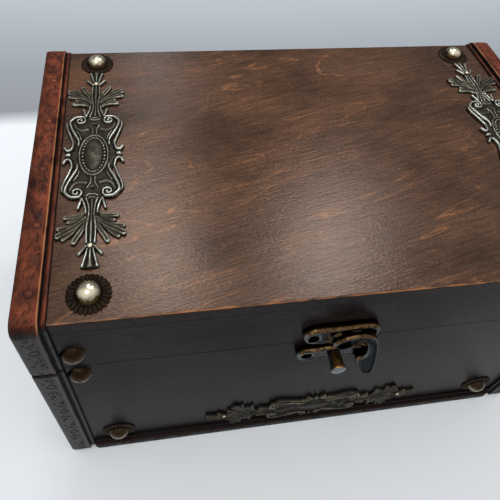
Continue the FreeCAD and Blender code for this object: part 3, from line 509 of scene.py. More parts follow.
def cast_bronze(name, ground, rim, gilt_reflection, glance):
    """Cast zinc, bronzed, blackened and rubbed.

    The eye sees dark faces, grey worn rims, and warm brown gold on the edges that look up; the
    split between the dark faces and the gold is painted reflection.
    Glance is the tint that it reflects at a flat angle.
    """
    material, tree = new_material(name)
    place = add(tree, "ShaderNodeTexCoord").outputs
    rub = add(tree, "ShaderNodeAttribute", attribute_name="rub").outputs["Fac"]
    facing = add(tree, "ShaderNodeSeparateXYZ", (place["Normal"],)).outputs
    patina = add(tree, "ShaderNodeTexNoise", {
        "Vector": place["Object"], "Scale": per_mm(2.4)[0], "Detail": 5.0, "Roughness": 0.7})
    faces = add(tree, "ShaderNodeValToRGB", (unsteady(tree, rub, patina, 0.7),), stops=(
        (0.1, shade(ground, 0.4)), (0.38, ground), (0.85, rim)))
    warm = add(tree, "ShaderNodeValToRGB", (patina,), stops=(
        (0.38, shade(gilt_reflection, 0.3)), (0.5, gilt_reflection), (0.64, shade(gilt_reflection, 2.2))))
    # Faces that look up take the gold, the others the dark ground: painted reflection
    upward = add(tree, "ShaderNodeMapRange", (facing[2], 0.2, 0.6))
    metal = add(tree, "ShaderNodeMix", {0: upward, 6: faces, 7: warm}, **BLEND)
    gloss = add(tree, "ShaderNodeMapRange", (patina, 0.3, 0.7, 0.3, 0.18))
    pits = add(tree, "ShaderNodeBump", {"Strength": 0.25, "Distance": 0.15 * MM, "Height": patina})
    return surfaced(material, {
        "Base Color": metal, "Roughness": gloss, "Normal": pits, "Metallic": 1.0,
        "Specular Tint": linear(glance)})


def turned_metal(name, bright, tarnish_and_shade, roughness, spot_mm, reach=1.0, glance="#ffffff"):
    """Turned, pressed or drawn metal, with small dull spots.

    The eye sees a bright crown and underside and a browner side, set by which way each face
    looks: painted reflection of the bright room, the pale floor and the dark wood round it.
    With a reach below 1 the crown stays dark too. Glance is the tint that it reflects at a flat angle.
    """
    material, tree = new_material(name)
    place = add(tree, "ShaderNodeTexCoord").outputs
    facing = add(tree, "ShaderNodeSeparateXYZ", (place["Normal"],)).outputs
    # By facing: crown and underside bright, side brown, which is painted reflection
    climb = add(tree, "ShaderNodeMapRange", (facing[2], -1.0, 1.0, 0.0, reach))
    spots = add(tree, "ShaderNodeTexNoise", {
        "Vector": place["Object"], "Scale": per_mm(spot_mm)[0], "Detail": 5.0, "Roughness": 0.7})
    metal = add(tree, "ShaderNodeValToRGB", (unsteady(tree, climb, spots, 0.3),), stops=(
        (0.2, shade(bright, 0.75)), (0.42, shade(tarnish_and_shade, 1.3)), (0.76, tarnish_and_shade), (0.92, bright)))
    gloss = add(tree, "ShaderNodeMapRange", (spots, 0.3, 0.7, 1.5 * roughness, 0.85 * roughness))
    return surfaced(material, {
        "Base Color": metal, "Roughness": gloss, "Metallic": 1.0, "Specular Tint": linear(glance)})


# Materials by finish, filled by the operator that makes them
FINISHES = {}


def make_finishes(finish):
    """All the chest's materials, by the record's slots or by further names given here."""
    stain, flame = tuple(finish.lid_stain), tuple(finish.lid_flame)
    wall, inside = tuple(finish.wall_stain_and_shade), tuple(finish.inside_wood)
    leather, tan = tuple(finish.leather), tuple(finish.leather_rubbed)
    bronze, ridge_bright = tuple(finish.bronze), tuple(finish.bronze_rubbed)
    brass = tuple(finish.brass)
    return {
        "lid_wood": stained_plywood(
            "birch_ply_stained_lacquered", stain, flame, 0.62, wall, inside, 0.4),
        # The walls' colour is dark stain and painted shade; the lid's upright faces take it too
        "wall_wood": stained_plywood(
            "birch_ply_dark_stained_and_shaded", wall, shade(flame, 0.25), 0.12, wall, inside, 0.03),
        "bottom_ply": bare_plywood("poplar_ply_sanded", inside),
        # The grey for the bands' upright faces is painted shade
        "band_leather": embossed_leather("leather_embossed_waxed", leather, linear("#3b3736"), tan),
        "mount_bronze": antiqued_stamping(
            "steel_stamped_bronzed", bronze, ridge_bright, linear("#807a68")),
        "washer_bronze": antiqued_stamping(
            "steel_pressed_browned", linear("#34281d"), ridge_bright, linear("#6e5b43")),
        # Darker copy of the nail brass for the nails on the front: painted shade
        "dulled_brass": turned_metal(
            "brass_pressed_shaded", linear("#c6baa0"), linear("#33281b"), 0.24, 2.0, 0.62),
        "nail_brass": turned_metal(
            "brass_pressed_lacquered", brass, linear("#4d3822"), 0.2, 2.0),
        # Studs keep a dark crown and a pale lower rim: painted reflection
        "stud_brass": turned_metal(
            "brass_pressed_tarnished", linear("#b09e72"), linear("#2c2015"), 0.22, 2.2, 0.8),
        # Blue-grey faces and brown-gold tops of the latch plates are painted reflection
        "latch_bronze": cast_bronze(
            "zinc_cast_bronzed", linear("#24282b"), linear("#6b7070"), linear("#5b462c"), "#e2e4e6"),
        # The hook's near-black ground is partly blackening and partly painted reflection of the dark room in
        # front
        "hook_bronze": cast_bronze(
            "zinc_cast_blackened_and_shaded", linear("#0d0e0f"), linear("#6b7173"), linear("#54412a"), "#c0c2c4"),
        # The post's pale grey side and end stand for the floor that they reflect: painted reflection
        "post_bronze": turned_metal(
            "zinc_turned_bronzed", linear("#b8864e"), linear("#626869"), 0.24, 1.6),
        # The rivet is near black, partly its finish and partly painted shade of its hole
        "rivet_iron": turned_metal(
            "iron_headed_blackened_and_shaded", linear("#2c2927"), linear("#0f0e0d"), 0.4, 1.5, glance="#2b2b2b"),
        "hinge_brass": turned_metal(
            "brass_rolled_plated", linear("#b39a68"), linear("#86703f"), 0.3, 5.0),
        "pin_steel": turned_metal(
            "steel_drawn_wire", linear("#a9a9a6"), linear("#75726b"), 0.3, 1.5),
        # The screws are near black, partly their finish and partly painted shade of their recesses
        "screw_steel": turned_metal(
            "steel_screw_bronzed_and_shaded", linear("#3a3530"), linear("#100e0d"), 0.4, 1.2, glance="#2b2b2b"),
    }


# Lid board

# Points round an edge, across the flat and along the board
EDGE_POINTS, FLAT_POINTS, BOARD_STATIONS = 7, 9, 27


def board_section(half_depth, low, high, rounding):
    """Front to back section of a board with rounded upper edges, as depth and height."""
    turn = np.radians(np.linspace(180, 90, EDGE_POINTS))
    front = np.column_stack([rounding - half_depth + rounding * np.cos(turn),
                             high - rounding + rounding * np.sin(turn)])
    back = front[::-1] * (-1, 1)
    flat = [(share * (half_depth - rounding), high) for share in np.linspace(-1, 1, FLAT_POINTS)[1:-1]]
    return np.vstack([[(-half_depth, low)], front, flat, back, [(half_depth, low)]])


def lid_board(rounding):
    """The lid's board, lacquered above and on its rounded edges, and in the walls' dark finish
    below them, whose darkness is partly painted shade.
    """
    section = board_section(WOOD_HALF_DEPTH, LID_LOW[2], LID_TOP, rounding)
    stations = np.linspace(LID_LOW[0], LID_HIGH[0], BOARD_STATIONS)
    points = np.array([(x, *spot) for x in stations for spot in section])
    faces = turned_over(capped_faces(len(stations), len(section)))
    board = new_piece("lid_board", points, faces, np.zeros(len(points)), "lid", "lid_wood", ["lid_top"])
    board.data.materials.append(FINISHES["wall_wood"])
    # Smooth on the rounded edges only; faces that look up are lacquered, and the rest take the wall
    # finish and its painted shade
    for face in board.data.polygons:
        face.use_smooth = 0.1 < face.normal.z < 0.999
        face.material_index = 0 if face.normal.z > 0.4 else 1


# Embossed bands and plinths

# Lip and groove beside the raised face of a band and of a plinth
BAND_LIP, PLINTH_LIP = 2.3, 2.2
# Plain margins of the raised face, and the run over which the pattern fades into them
INNER_MARGIN, OUTER_MARGIN, FADE = 1.7, 0.7, 0.5
# Wear reaches this far from a strip's ends, and lowers them by this share
END_WEAR, END_LOSS = 1.4, 0.3
# Rounding of the bands' corners, and of the wood's corners under them
LID_CORNER, BASE_CORNER, WOOD_CORNER = 7.0, 5.0, 0.8
# One ring of the pattern lies this far before the lid's middle, and this far below the seam
LID_RING, BASE_RING = 68.5, 11.5
# Strips carry coarser relief than mounts, so their points are wider apart
STRIP_STEP = 1.25
# The plinths are darker: their rub is scaled down to this share
PLINTH_RUB = 0.2


def band_profile(width, face):
    """Section across a strip: distance from its inner edge and height above the wood.

    A rounded lip, a groove, a rubbed shoulder and a flat face with a rounded outer edge.
    """
    shoulder = width - face
    low = line_through((0, 0), (0, 0.75), (0.35, 1.15), (0.5 * shoulder, 1.3), (shoulder - 0.25, 0.85),
                       steps=5)
    rise = line_through((shoulder - 0.05, 0.95), (shoulder + 0.1, 2.2), (shoulder + 0.6, BAND_PROUD - 0.02),
                        (shoulder + 1.2, 2.7), (shoulder + 1.9, 2.62), steps=6)
    top = line_through((shoulder + 2.1, 2.62), (width - 0.5 * face, 2.82), (width - 1.5, 2.66), steps=16)
    edge = line_through((width - 1.3, 2.62), (width - 0.4, 2.25), (width, 1.6), (width, 0), steps=5)
    section = np.vstack([low, rise, top, edge])
    return np.clip(section, 0, (width, BAND_PROUD))


def emboss(along, across, pitch):
    """Depth, 0 to 1, of the band's pattern, and the share of its dots.

    The pattern is a ring round a dot, then a leafy sprig on each side.
    """
    local = (along + pitch / 2) % pitch - pitch / 2
    turned = np.where(local < 0, -across, across)
    local = np.abs(local)
    around = np.hypot(local, turned)
    depth = np.clip(1 - (np.abs(around - 1.8) / 0.38) ** 2, 0, 1)
    strokes = (
        (line_through((3.4, 0.3), (5.6, 1.2), (7.8, 0.6)), (0.2, 0.32, 0.2)),
        (line_through((6.0, 1.6), (6.8, 2.5), (8.2, 2.7)), (0.2, 0.4, 0.2)),
        (line_through((6.4, 0.2), (7.4, -0.9), (8.8, -1.2)), (0.2, 0.4, 0.2)),
        (scroll_line((10.9, 0.9), (1.3, 0.4), (170, -200)), (0.26, 0.3, 0.3)),
        (line_through((9.8, -1.9), (11.0, -2.6), (12.4, -2.5)), (0.2, 0.45, 0.2)),
        (line_through((13.4, 2.1), (13.9, 1.9)), (0.4, 0.4, 0.3)),
        (line_through((3.6, -2.6), (4.2, -2.8)), (0.35, 0.4, 0.3)),
    )
    for line, widths in strokes:
        depth = np.maximum(depth, ridge(local, turned, line, widths)[0])
    return depth, np.exp(-(around / 0.9) ** 2)


def dressed_section(along, profile, width, face, relief, first_ring=0.0):
    """Heights and rub of a strip on a grid of places along it and points across its section.

    Its ends are worn down a little and dark.
    """
    pitch, depth = relief.emboss_pitch / MM, relief.emboss_depth / MM
    grid_along, grid_across = np.meshgrid(along, profile[:, 0], indexing="ij")
    heights = np.tile(profile[:, 1], (len(along), 1))
    middle = width - 0.58 * face
    beyond_lip = grid_across - (width - face)
    on_face = (np.clip((beyond_lip - INNER_MARGIN) / FADE, 0, 1)
               * np.clip((width - OUTER_MARGIN - grid_across) / FADE, 0, 1))
    pattern, dots = emboss(grid_along - first_ring, grid_across - middle, pitch)
    pattern = pattern * on_face

    # Rub: high on the face's middle and the dots, highest on the crest, low in hollows and at edges
    margin = np.clip(np.abs(grid_across - middle) / (0.5 * face), 0, 1) ** 2
    rub = 0.52 - 0.25 * pattern + 0.3 * dots * on_face - 0.2 * margin * on_face
    groove = np.exp(-((beyond_lip + 0.15) / 0.3) ** 2)
    crest = np.exp(-((beyond_lip - 0.6) / 0.33) ** 2)
    foot = np.exp(-(grid_across / 0.3) ** 2)
    outer = np.exp(-((grid_across - width) / 0.5) ** 2) * (heights > 1)
    rub = rub - 0.42 * groove - 0.35 * foot + 0.5 * crest - 0.3 * outer
    rub = np.where((grid_across < width - face) & (heights > 0.5), rub - 0.1, rub)
    from_end = np.minimum(along - along[0], along[-1] - along)
    worn = np.clip(1 - from_end / END_WEAR, 0, 1)[:, None]
    return (heights - pattern * depth) * (1 - END_LOSS * worn), np.clip(rub - 0.6 * worn, 0, 1)


def arch_rows(step, spans):
    """Rows along an arch: segment (0 front, 1 corner, 2 long run, 3 corner, 4 back) and share of it."""
    rows = []
    for segment, length in enumerate(spans):
        count = max(8, int(length / step))
        rows += [(segment, k / count) for k in range(count)]
    return rows + [(4, 1.0)]


def arch_place(segment, share, height, corner, rise):
    """Depth and height over the seam of a point on an arch, for a height above the wood.

    The corner's rounding shrinks towards the wood, whose own corner is nearly sharp.
    """
    radius = WOOD_CORNER + (corner - WOOD_CORNER) * np.clip(height / BAND_PROUD, 0, 1)
    reach = WOOD_HALF_DEPTH + height
    top = rise + height
    if segment in (0, 4):
        climb = share if segment == 0 else 1 - share
        depth, level = reach, climb * (top - radius)
    elif segment == 2:
        return (2 * share - 1) * (reach - radius), top
    else:
        angle = share * math.pi / 2
        angle = angle if segment == 1 else math.pi / 2 - angle
        depth = reach - radius + radius * np.cos(angle)
        level = top - radius + radius * np.sin(angle)
    return (-depth if segment < 2 else depth), level


def arch_band(name, side, seam, rise, corner, flipped, first_ring, relief, body):
    """Embossed band bent over the lid, or with flipped under the base."""
    face = BAND_WIDTH - BAND_LIP
    profile = band_profile(BAND_WIDTH, face)
    upright_shade, arc = rise + BAND_PROUD - corner, corner * math.pi / 2
    spans = (upright_shade, arc, 2 * (WOOD_HALF_DEPTH + BAND_PROUD - corner), arc, upright_shade)
    rows = arch_rows(relief.mesh_step / MM * STRIP_STEP, spans)
    starts = np.cumsum([0, *spans[:-1]])
    along = np.array([starts[segment] + share * spans[segment] for segment, share in rows])
    heights, rub = dressed_section(along, profile, BAND_WIDTH, face, relief, first_ring)
    points = np.zeros((len(rows), len(profile), 3))
    for index, (segment, share) in enumerate(rows):
        depth, level = arch_place(segment, share, heights[index], corner, rise)
        points[index, :, 0] = side * (BAND_FOOT + profile[:, 0])
        points[index, :, 1] = depth
        points[index, :, 2] = seam + (-level if flipped else level)
    faces = capped_faces(len(rows), len(profile))
    if (side > 0) == flipped:
        faces = turned_over(faces)
    return new_piece(f"{name}_dressed", points.reshape(-1, 3), faces, rub, body, "band_leather", [name])


def plinth_strip(name, sign, relief):
    """Embossed strip along the foot of the front or the back."""
    width = PLINTH_HIGH[2] - PLINTH_LOW[2]
    face = width - PLINTH_LIP
    profile = band_profile(width, face)
    half = PLINTH_HIGH[0]
    along = np.linspace(-half, half, int(2 * half / (relief.mesh_step / MM * STRIP_STEP)))
    heights, rub = dressed_section(along, profile, width, face, relief)
    points = np.zeros((*heights.shape, 3))
    points[:, :, 0] = along[:, None]
    points[:, :, 1] = sign * (WOOD_HALF_DEPTH + heights)
    points[:, :, 2] = PLINTH_HIGH[2] - profile[:, 0]
    faces = capped_faces(len(along), len(profile))
    if sign > 0:
        faces = turned_over(faces)
    return new_piece(f"{name}_dressed", points.reshape(-1, 3), faces, PLINTH_RUB * rub, "base",
                     "band_leather", [name])


# Stamped mounts

# Half size of the drawing, and heights above the board: plain ground, a ridge's foot, the highest point
MOUNT_HALF = (14.0, 60.0)
GROUND, RIDGE_FOOT, FULL_RELIEF = 0.85, 0.55, 2.28
# The oval medallion: half sizes of its rim, its row of beads and its dome
RIM_OVAL, BEAD_OVAL, DOME_OVAL = (6.3, 12.4), (4.85, 10.6), (4.1, 9.6)
# Millimetres to one unit of the rim oval's level
RIM_SPAN = 8.0
# Foot, rise and half width of the rim and of a bead, and foot of the dome
RIM_FOOT, RIM_RISE, RIM_HALF = 0.8, 0.75, 0.5
BEAD_FOOT, BEAD_RISE, BEAD_RADIUS = 0.9, 0.75, 0.62
DOME_FOOT = 1.25
# Flat seats of the tacks, and the eyelets, shallow dimples painted black as the shade in a
# hole: distance from the middle, radius and height
TACK_SPOT, TACK_RADIUS, TACK_SEAT = 50.0, 1.6, 1.5
EYELET_SPOT, EYELET_RADIUS, SHADED_EYELET_FLOOR = 20.0, 1.0, 0.2
# Rounding of the outline, and the share of the height that stands upright there
OUTLINE_ROUND, OUTLINE_UPRIGHT = 0.55, 0.35
# Share of the rub that the mount on the front has, and rub of the hidden backs and sides.
# The front mount's smaller share darkens it: painted shade, for the dark room that it faces
FRONT_RUB_AND_SHADE, BACK_RUB = 0.6, 0.15

# One quarter of the mount. Each ridge: line, half widths, highest point, how dished it is
MOUNT_RIDGES = (
    # Stem: ribs, the curl beside its foot, the bud at the tack and the bell at its end
    (line_through((0, 26.5), (0, 38), (0, 49)), (0.45, 0.5, 0.6), TACK_SEAT, 0.0),
    (line_through((2.4, 25.6), (1.3, 30), (1.1, 35), (1.8, 41), (1.7, 48)), (0.5, 0.5, 0.55), 1.65, 0.0),
    (line_through((4.2, 25.6), (2.9, 29.6), (2.3, 33.4)), (0.55, 0.65, 0.5), 1.8, 0.0),
    (line_through((4.4, 25.6), (4.9, 28.2), (5.6, 30.8)), (0.6, 0.85, 0.75), 1.75, 0.0),
    (line_through((1.5, 49.8), (2.8, 51.5), (4.3, 53.4)), (0.6, 0.9, 0.75), 1.8, 0.2),
    (line_through((1.1, 51.2), (1.9, 55), (2.8, 59)), (0.5, 0.65, 0.9), 1.7, 0.0),
    (line_through((0, 51.4), (0, 55.5), (0, 59)), (0.5, 0.7, 1.5), 1.75, 0.0),
    # Leaves, from the scroll to the tack, each with its lobes
    (line_through((2.4, 32.2), (4.6, 34.6), (7.4, 35.2), (10.3, 35.3)), (0.7, 1.25, 1.2), 1.9, 0.45),
    (line_through((4.2, 35.2), (6.6, 37.0), (9.0, 37.7)), (0.8, 1.2, 1.1), 1.75, 0.45),
    (line_through((2.2, 36), (5.8, 39.8), (9.8, 42.3), (12.9, 44.3)), (0.8, 1.55, 1.6), 2.1, 0.5),
    (line_through((6.2, 39.2), (9.6, 40.4), (12.6, 40.9)), (0.9, 1.25, 1.2), 1.9, 0.5),
    (line_through((5.2, 40.6), (8.4, 43.8), (10.8, 45.9)), (0.8, 1.2, 1.0), 1.7, 0.45),
    (line_through((1.5, 37), (3.4, 41.6), (5.4, 45.2), (6.5, 47.7)), (0.8, 1.4, 1.25), 2.0, 0.5),
    # Scroll: its bright band and eye, the flange outside it and the leaf inside it
    (line_through((5.4, 25.0), (8.8, 24.7), (11.2, 21.9), (10.9, 18.6), (9.0, 13.8), (7.0, 9.4), (6.9, 6.2)),
     (0.75, 1.0, 0.45), 2.2, 0.0),
    (scroll_line((6.6, 22.5), (2.6, 0.45), (100, 560)), (0.7, 0.5, 0.7), 2.1, 0.0),
    (line_through((9.4, 24.4), (12.5, 20.8), (12.1, 16.8), (10.5, 11.8), (9.3, 7.4)),
     (0.7, 0.85, 0.6), 1.75, 0.0),
    (line_through((9.4, 20.4), (8.2, 17.7), (5.8, 16.2), (3.2, 16.7)), (0.45, 0.8, 0.85), 1.8, 0.4),
    (line_through((5.9, 9.8), (6.5, 12.4), (8.2, 15.6)), (0.3, 0.45, 0.3), 1.6, 0.0),
    # Between the scrolls: two flared lines round the eyelet and a small fan
    (line_through((0.9, 13.4), (1.0, 16.8), (2.4, 19.8)), (0.35, 0.4, 0.35), 1.45, 0.0),
    (line_through((0, 23.2), (1.4, 23.4), (2.3, 24.2)), (0.35, 0.4, 0.35), 1.5, 0.0),
    (line_through((0, 24.8), (0.9, 25.0), (1.4, 25.6)), (0.3, 0.35, 0.3), 1.45, 0.0),
    # Side of the medallion: a curl and a bead
    (line_through((13.0, 4.7), (11.7, 2.8), (10.0, 3.6), (9.2, 7.2)), (0.8, 0.9, 0.55), 1.95, 0.0),
    (line_through((10.7, 0.0), (11.7, 0.0)), (1.05, 1.05, 1.05), 2.1, 0.0),
)
# Plain ground that joins them: line and half widths
MOUNT_GROUNDS = (
    (line_through((0, 0), (0, 12), (0, 24)), (9.2, 8.2, 3.6)),
    (line_through((5.4, 14), (8.4, 17.6), (7.2, 21.6)), (3.2, 3.4, 3.2)),
    (line_through((0, 23), (0, 28), (0, 33)), (4.4, 3.3, 2.6)),
    (line_through((0, 33), (0, 41), (0, 50)), (2.6, 2.2, 1.8)),
    (line_through((0, 50), (0, 55), (0, 58.4)), (1.5, 2.2, 2.7)),
    (line_through((8, 0), (10.4, 0)), (3.4, 2.8, 1.8)),
    (line_through((1, 34), (5, 39)), (2.0, 2.4, 1.9)),
)


def oval_level(u, v, oval):
    """1 on an oval, smaller inside."""
    return np.hypot(u / oval[0], v / oval[1])


def mount_form(u, v, beads):
    """Height of the stamped mount and the distance outside its outline, over its sheet."""
    u, v = np.abs(u), np.abs(v)
    outside = np.full(u.shape, np.inf)
    height = np.full(u.shape, GROUND)
    for line, widths in MOUNT_GROUNDS:
        outside = np.minimum(outside, ridge(u, v, line, widths)[1])
    for line, widths, crest, dished in MOUNT_RIDGES:
        rise, beyond = ridge(u, v, line, widths, dished)
        outside = np.minimum(outside, beyond)
        height = np.maximum(height, RIDGE_FOOT + (crest - RIDGE_FOOT) * rise)
    rim = np.abs(oval_level(u, v, RIM_OVAL) - 1) * RIM_SPAN
    height = np.maximum(height, RIM_FOOT + RIM_RISE * np.sqrt(np.clip(1 - (rim / RIM_HALF) ** 2, 0, 1)))
    turn = np.arctan2(v / BEAD_OVAL[1], u / BEAD_OVAL[0]) * beads / (2 * math.pi)
    nearest_bead = (np.round(turn - 0.5) + 0.5) * 2 * math.pi / beads
    bead = np.hypot(u - BEAD_OVAL[0] * np.cos(nearest_bead), v - BEAD_OVAL[1] * np.sin(nearest_bead))
    height = np.maximum(
        height, BEAD_FOOT + BEAD_RISE * np.sqrt(np.clip(1 - (bead / BEAD_RADIUS) ** 2, 0, 1)))
    dome = np.clip(1 - oval_level(u, v, DOME_OVAL) ** 2, 0, 1)
    crown = DOME_FOOT + (FULL_RELIEF - DOME_FOOT) * np.sqrt(dome)
    height = np.maximum(height, np.where(dome > 0, crown, 0))
    seat = np.hypot(u, v - TACK_SPOT)
    height = np.where(seat < TACK_RADIUS, np.minimum(height, TACK_SEAT), height)
    edge = np.clip(-outside / OUTLINE_ROUND, 0, 1)
    height = height * (OUTLINE_UPRIGHT + (1 - OUTLINE_UPRIGHT) * np.sqrt(1 - (1 - edge) ** 2))
    # Eyelets are shallow dimples, not holes; their floor is painted black as shade
    return np.where(np.hypot(u, v - EYELET_SPOT) < EYELET_RADIUS, SHADED_EYELET_FLOOR, height), outside


def sheet_of(form, low, high, step, rub_rule):
    """Points, faces and rub of a flat-backed piece drawn on a sheet: across, along and height.

    The form gives heights and the distance outside the outline over the sheet from low to high.
    """
    counts = [int(round((end - start) / step)) + 1 for start, end in zip(low, high)]
    u, v = np.meshgrid(*[np.linspace(*run) for run in zip(low, high, counts)], indexing="ij")
    height, outside = form(u, v)
    rub = rub_rule(u, v, height, outside)
    middle = (outside[:-1, :-1] + outside[1:, :-1] + outside[:-1, 1:] + outside[1:, 1:]) / 4
    kept = middle < 0
    index = np.arange(u.size).reshape(u.shape)
    corners = [index[:-1, :-1], index[1:, :-1], index[1:, 1:], index[:-1, 1:]]
    quads = np.stack([corner[kept] for corner in corners], axis=1)
    used, renumbered = np.unique(quads, return_inverse=True)
    quads = renumbered.reshape(quads.shape)
    spots = np.stack([u.ravel()[used], v.ravel()[used]], axis=1)

    # Points on the border slide onto the outline, so that the piece's edge is smooth
    edges = np.concatenate([quads[:, [k, (k + 1) % 4]] for k in range(4)])
    _, first, count = np.unique(np.sort(edges, axis=1), axis=0, return_index=True, return_counts=True)
    border = edges[first[count == 1]]
    rim = np.unique(border)
    nudge, furthest = 0.02, 0.8 * step
    for _ in range(3):
        x, y = spots[rim].T
        off = form(x, y)[1]
        slope = np.stack([form(x + nudge, y)[1] - off, form(x, y + nudge)[1] - off], axis=1) / nudge
        steep = np.maximum((slope ** 2).sum(axis=1), 0.25)
        spots[rim] += np.clip(-off / steep, -furthest, furthest)[:, None] * slope
    spots = np.clip(spots, low, high)

    # The back is the same sheet laid flat, joined to the face round the border
    face = np.column_stack([spots, form(*spots.T)[0]])
    back = np.column_stack([spots, np.zeros(len(spots))])
    under = len(spots)
    front_faces = [tuple(quad) for quad in quads.tolist()]
    back_faces = [tuple(quad) for quad in (quads[:, ::-1] + under).tolist()]
    sides = [(b, a, under + a, under + b) for a, b in border.tolist()]
    wear = np.concatenate([rub.ravel()[used], np.full(under, BACK_RUB)])
    return np.vstack([face, back]), front_faces + back_faces + sides, wear


def stamped_sheet(relief):
    """A mount lying on the board, with ridges rubbed bright and hollows left dark."""
    step = relief.mesh_step / MM

    def form(u, v):
        return mount_form(u, v, relief.beads)

    def rub_rule(u, v, height, outside):
        proud = height - blurred(height, int(1.2 / step))
        rub = np.clip(0.36 + 0.8 * proud + 0.12 * (height - 1.3), 0, 1)
        rub = np.where(oval_level(u, v, DOME_OVAL) < 1, 0.42, rub)
        # No rub on the eyelets' floor, so it is black: painted shade of a hole
        return np.where(height <= SHADED_EYELET_FLOOR, 0, rub)

    return sheet_of(form, [-half for half in MOUNT_HALF], MOUNT_HALF, step, rub_rule)


def place_mount(name, sheet, middle, standing, body, node):
    """A mount laid on the lid, or standing on the front with its length from side to side."""
    points, faces, wear = sheet
    if standing:
        # A smaller rub darkens the front mount: painted shade
        points, faces, wear = points[:, [1, 0, 2]], turned_over(faces), FRONT_RUB_AND_SHADE * wear
    return new_piece(name, placed(points, middle, standing), faces, wear, body, "mount_bronze", [node])


# Petalled washers

# Radius of the hub, depth of the notch between two petals and thickness of a petal's edge
HUB_RADIUS, PETAL_NOTCH, PETAL_EDGE = 4.6, 0.75, 0.25
# Rings of points from the hub to the tips, and points round one petal
WASHER_RINGS, PETAL_SPOKES = 20, 14


def washer_form(relief, radius, thickness):
    """Points, faces and rub of one washer: a raised hub, then ribbed petals with rounded tips."""
    spokes = relief.petals * PETAL_SPOKES
    share = np.linspace(0, 1, WASHER_RINGS)[:, None]
    angle = np.linspace(0, 2 * math.pi, spokes, endpoint=False)[None, :]
    lobe = np.abs(np.cos(angle * relief.petals / 2))
    vein = np.abs(np.sin(angle * relief.petals / 2))
    tip = radius - PETAL_NOTCH * (1 - lobe ** 0.6)
    reach = HUB_RADIUS + (tip - HUB_RADIUS) * share
    slope = np.clip((1 - share) / 0.3, 0, 1) ** 0.6
    rib = 0.45 + 0.55 * np.minimum(lobe ** 0.7, 0.35 + 2.2 * vein)
    swell = (0.35 + 0.65 * slope) * rib * (0.75 + 0.25 * np.sin(share * math.pi))
    height = PETAL_EDGE + (thickness - PETAL_EDGE - 0.1) * swell
    height = np.where(share < 0.12, thickness - 0.15, height)
    rub = np.clip(0.06 + 0.38 * rib * (0.6 + 0.4 * share), 0, 1)
    flat = np.stack([reach * np.cos(angle), reach * np.sin(angle), height], axis=2).reshape(-1, 3)

    # Two flat rings close it below, and the last one meets the first ring of the hub
    foot = np.vstack([flat[-spokes:], flat[:spokes]])
    foot[:, 2] = 0
    last = (WASHER_RINGS + 1) * spokes
    faces = grid_faces(WASHER_RINGS + 2, spokes)
    faces += [(last + k, last + (k + 1) % spokes, (k + 1) % spokes, k) for k in range(spokes)]
    wear = np.concatenate([rub.ravel(), np.full(len(foot), 0.1)])
    return np.vstack([flat, foot]), turned_over(faces), wear


def place_washers(name, form, middles, standing, body, node):
    """Like washers at several places as one piece."""
    points, faces, wear = form
    spots = [placed(points, middle, standing) for middle in middles]
    joined = [tuple(k + index * len(points) for k in face)
              for index in range(len(middles)) for face in faces]
    return new_piece(name, np.vstack(spots), joined, np.tile(wear, len(middles)), body,
                     "washer_bronze", [node])


# Latch: horn hook and its two plates, as cast

# Horn outline about its pivot, in shares of the distance from the pivot to the post
HORN = ((-0.02, 0.31), (0.45, 0.37), (0.86, 0.08), (1.14, -0.83), (1.33, -1.92), (1.25, -2.22),
        (1.02, -2.14), (0.78, -1.7), (0.61, -1.14), (0.7, -1.03), (0.8, -0.91), (0.765, -0.5),
        (0.58, -0.06), (0.42, 0.02), (0.27, -0.15), (0, -0.3), (-0.29, 0), (-0.02, 0.31))
# Plate outline in shares of its length and height
PLATE = ((-0.2, 0.5), (0.2, 0.5), (0.38, 0.48), (0.47, 0.32), (0.5, 0.08), (0.46, -0.2),
         (0.36, -0.35), (0.17, -0.42), (0, -0.5), (-0.17, -0.42), (-0.36, -0.35), (-0.46, -0.2),
         (-0.5, 0.08), (-0.47, 0.32), (-0.38, 0.48), (-0.2, 0.5))
# Rounding of the edges and depth of the dished face
PLATE_ROUND, PLATE_DISH = 1.3, 0.35
HOOK_ROUND, HOOK_DISH = 1.0, 0.4
# Screws beside a plate's middle, radii of the holes for a screw, the rivet and the post, and of the boss
SCREW_SPOT, SCREW_HOLE, RIVET_HOLE, POST_HOLE, BOSS_RADIUS = 12.5, 2.6, 1.8, 1.6, 4.2


def outside_of(u, v, line):
    """Distance of points outside a closed line, negative inside."""
    distance = nearest(u, v, line)[0]
    crossings = np.zeros(u.shape, int)
    for start, end in zip(line, line[1:]):
        spans = (start[1] > v) != (end[1] > v)
        lean = (end[0] - start[0]) / (end[1] - start[1] if end[1] != start[1] else 1e-9)
        crossings += spans & (u < start[0] + (v - start[1]) * lean)
    return np.where(crossings % 2, -distance, distance)


def cast_form(line, thickness, rounding, dish, holes, boss=None):
    """Form of a casting: rounded edges, a shallow dished face, round holes, a boss of a radius and rise."""
    def form(u, v):
        outside = outside_of(u, v, line)
        inward = np.clip(-outside / rounding, 0, 1)
        sunk = dish * np.clip((-outside - rounding) / rounding, 0, 1) ** 2
        height = thickness - rounding * (1 - np.sqrt(1 - (1 - inward) ** 2)) - sunk
        if boss:
            height = np.where(np.hypot(u, v) < boss[0], thickness + boss[1], height)
        for spot, radius in holes:
            outside = np.maximum(outside, radius - np.hypot(u - spot[0], v - spot[1]))
        return height, outside
    return form


def cast_piece(name, form, middle, turned, low, high, step, body, slot):
    """A casting on the chest's front; turned puts it upside down. It stands for the node of its name."""
    def rub_rule(u, v, height, outside):
        return np.clip(0.25 + 0.75 * np.exp(-(outside / 0.75) ** 2), 0, 1)

    points, faces, wear = sheet_of(form, low, high, step, rub_rule)
    if turned:
        points = points * (-1, -1, 1)
    return new_piece(f"{name}_cast", placed(points, middle, True), faces, wear, body, slot, [name])


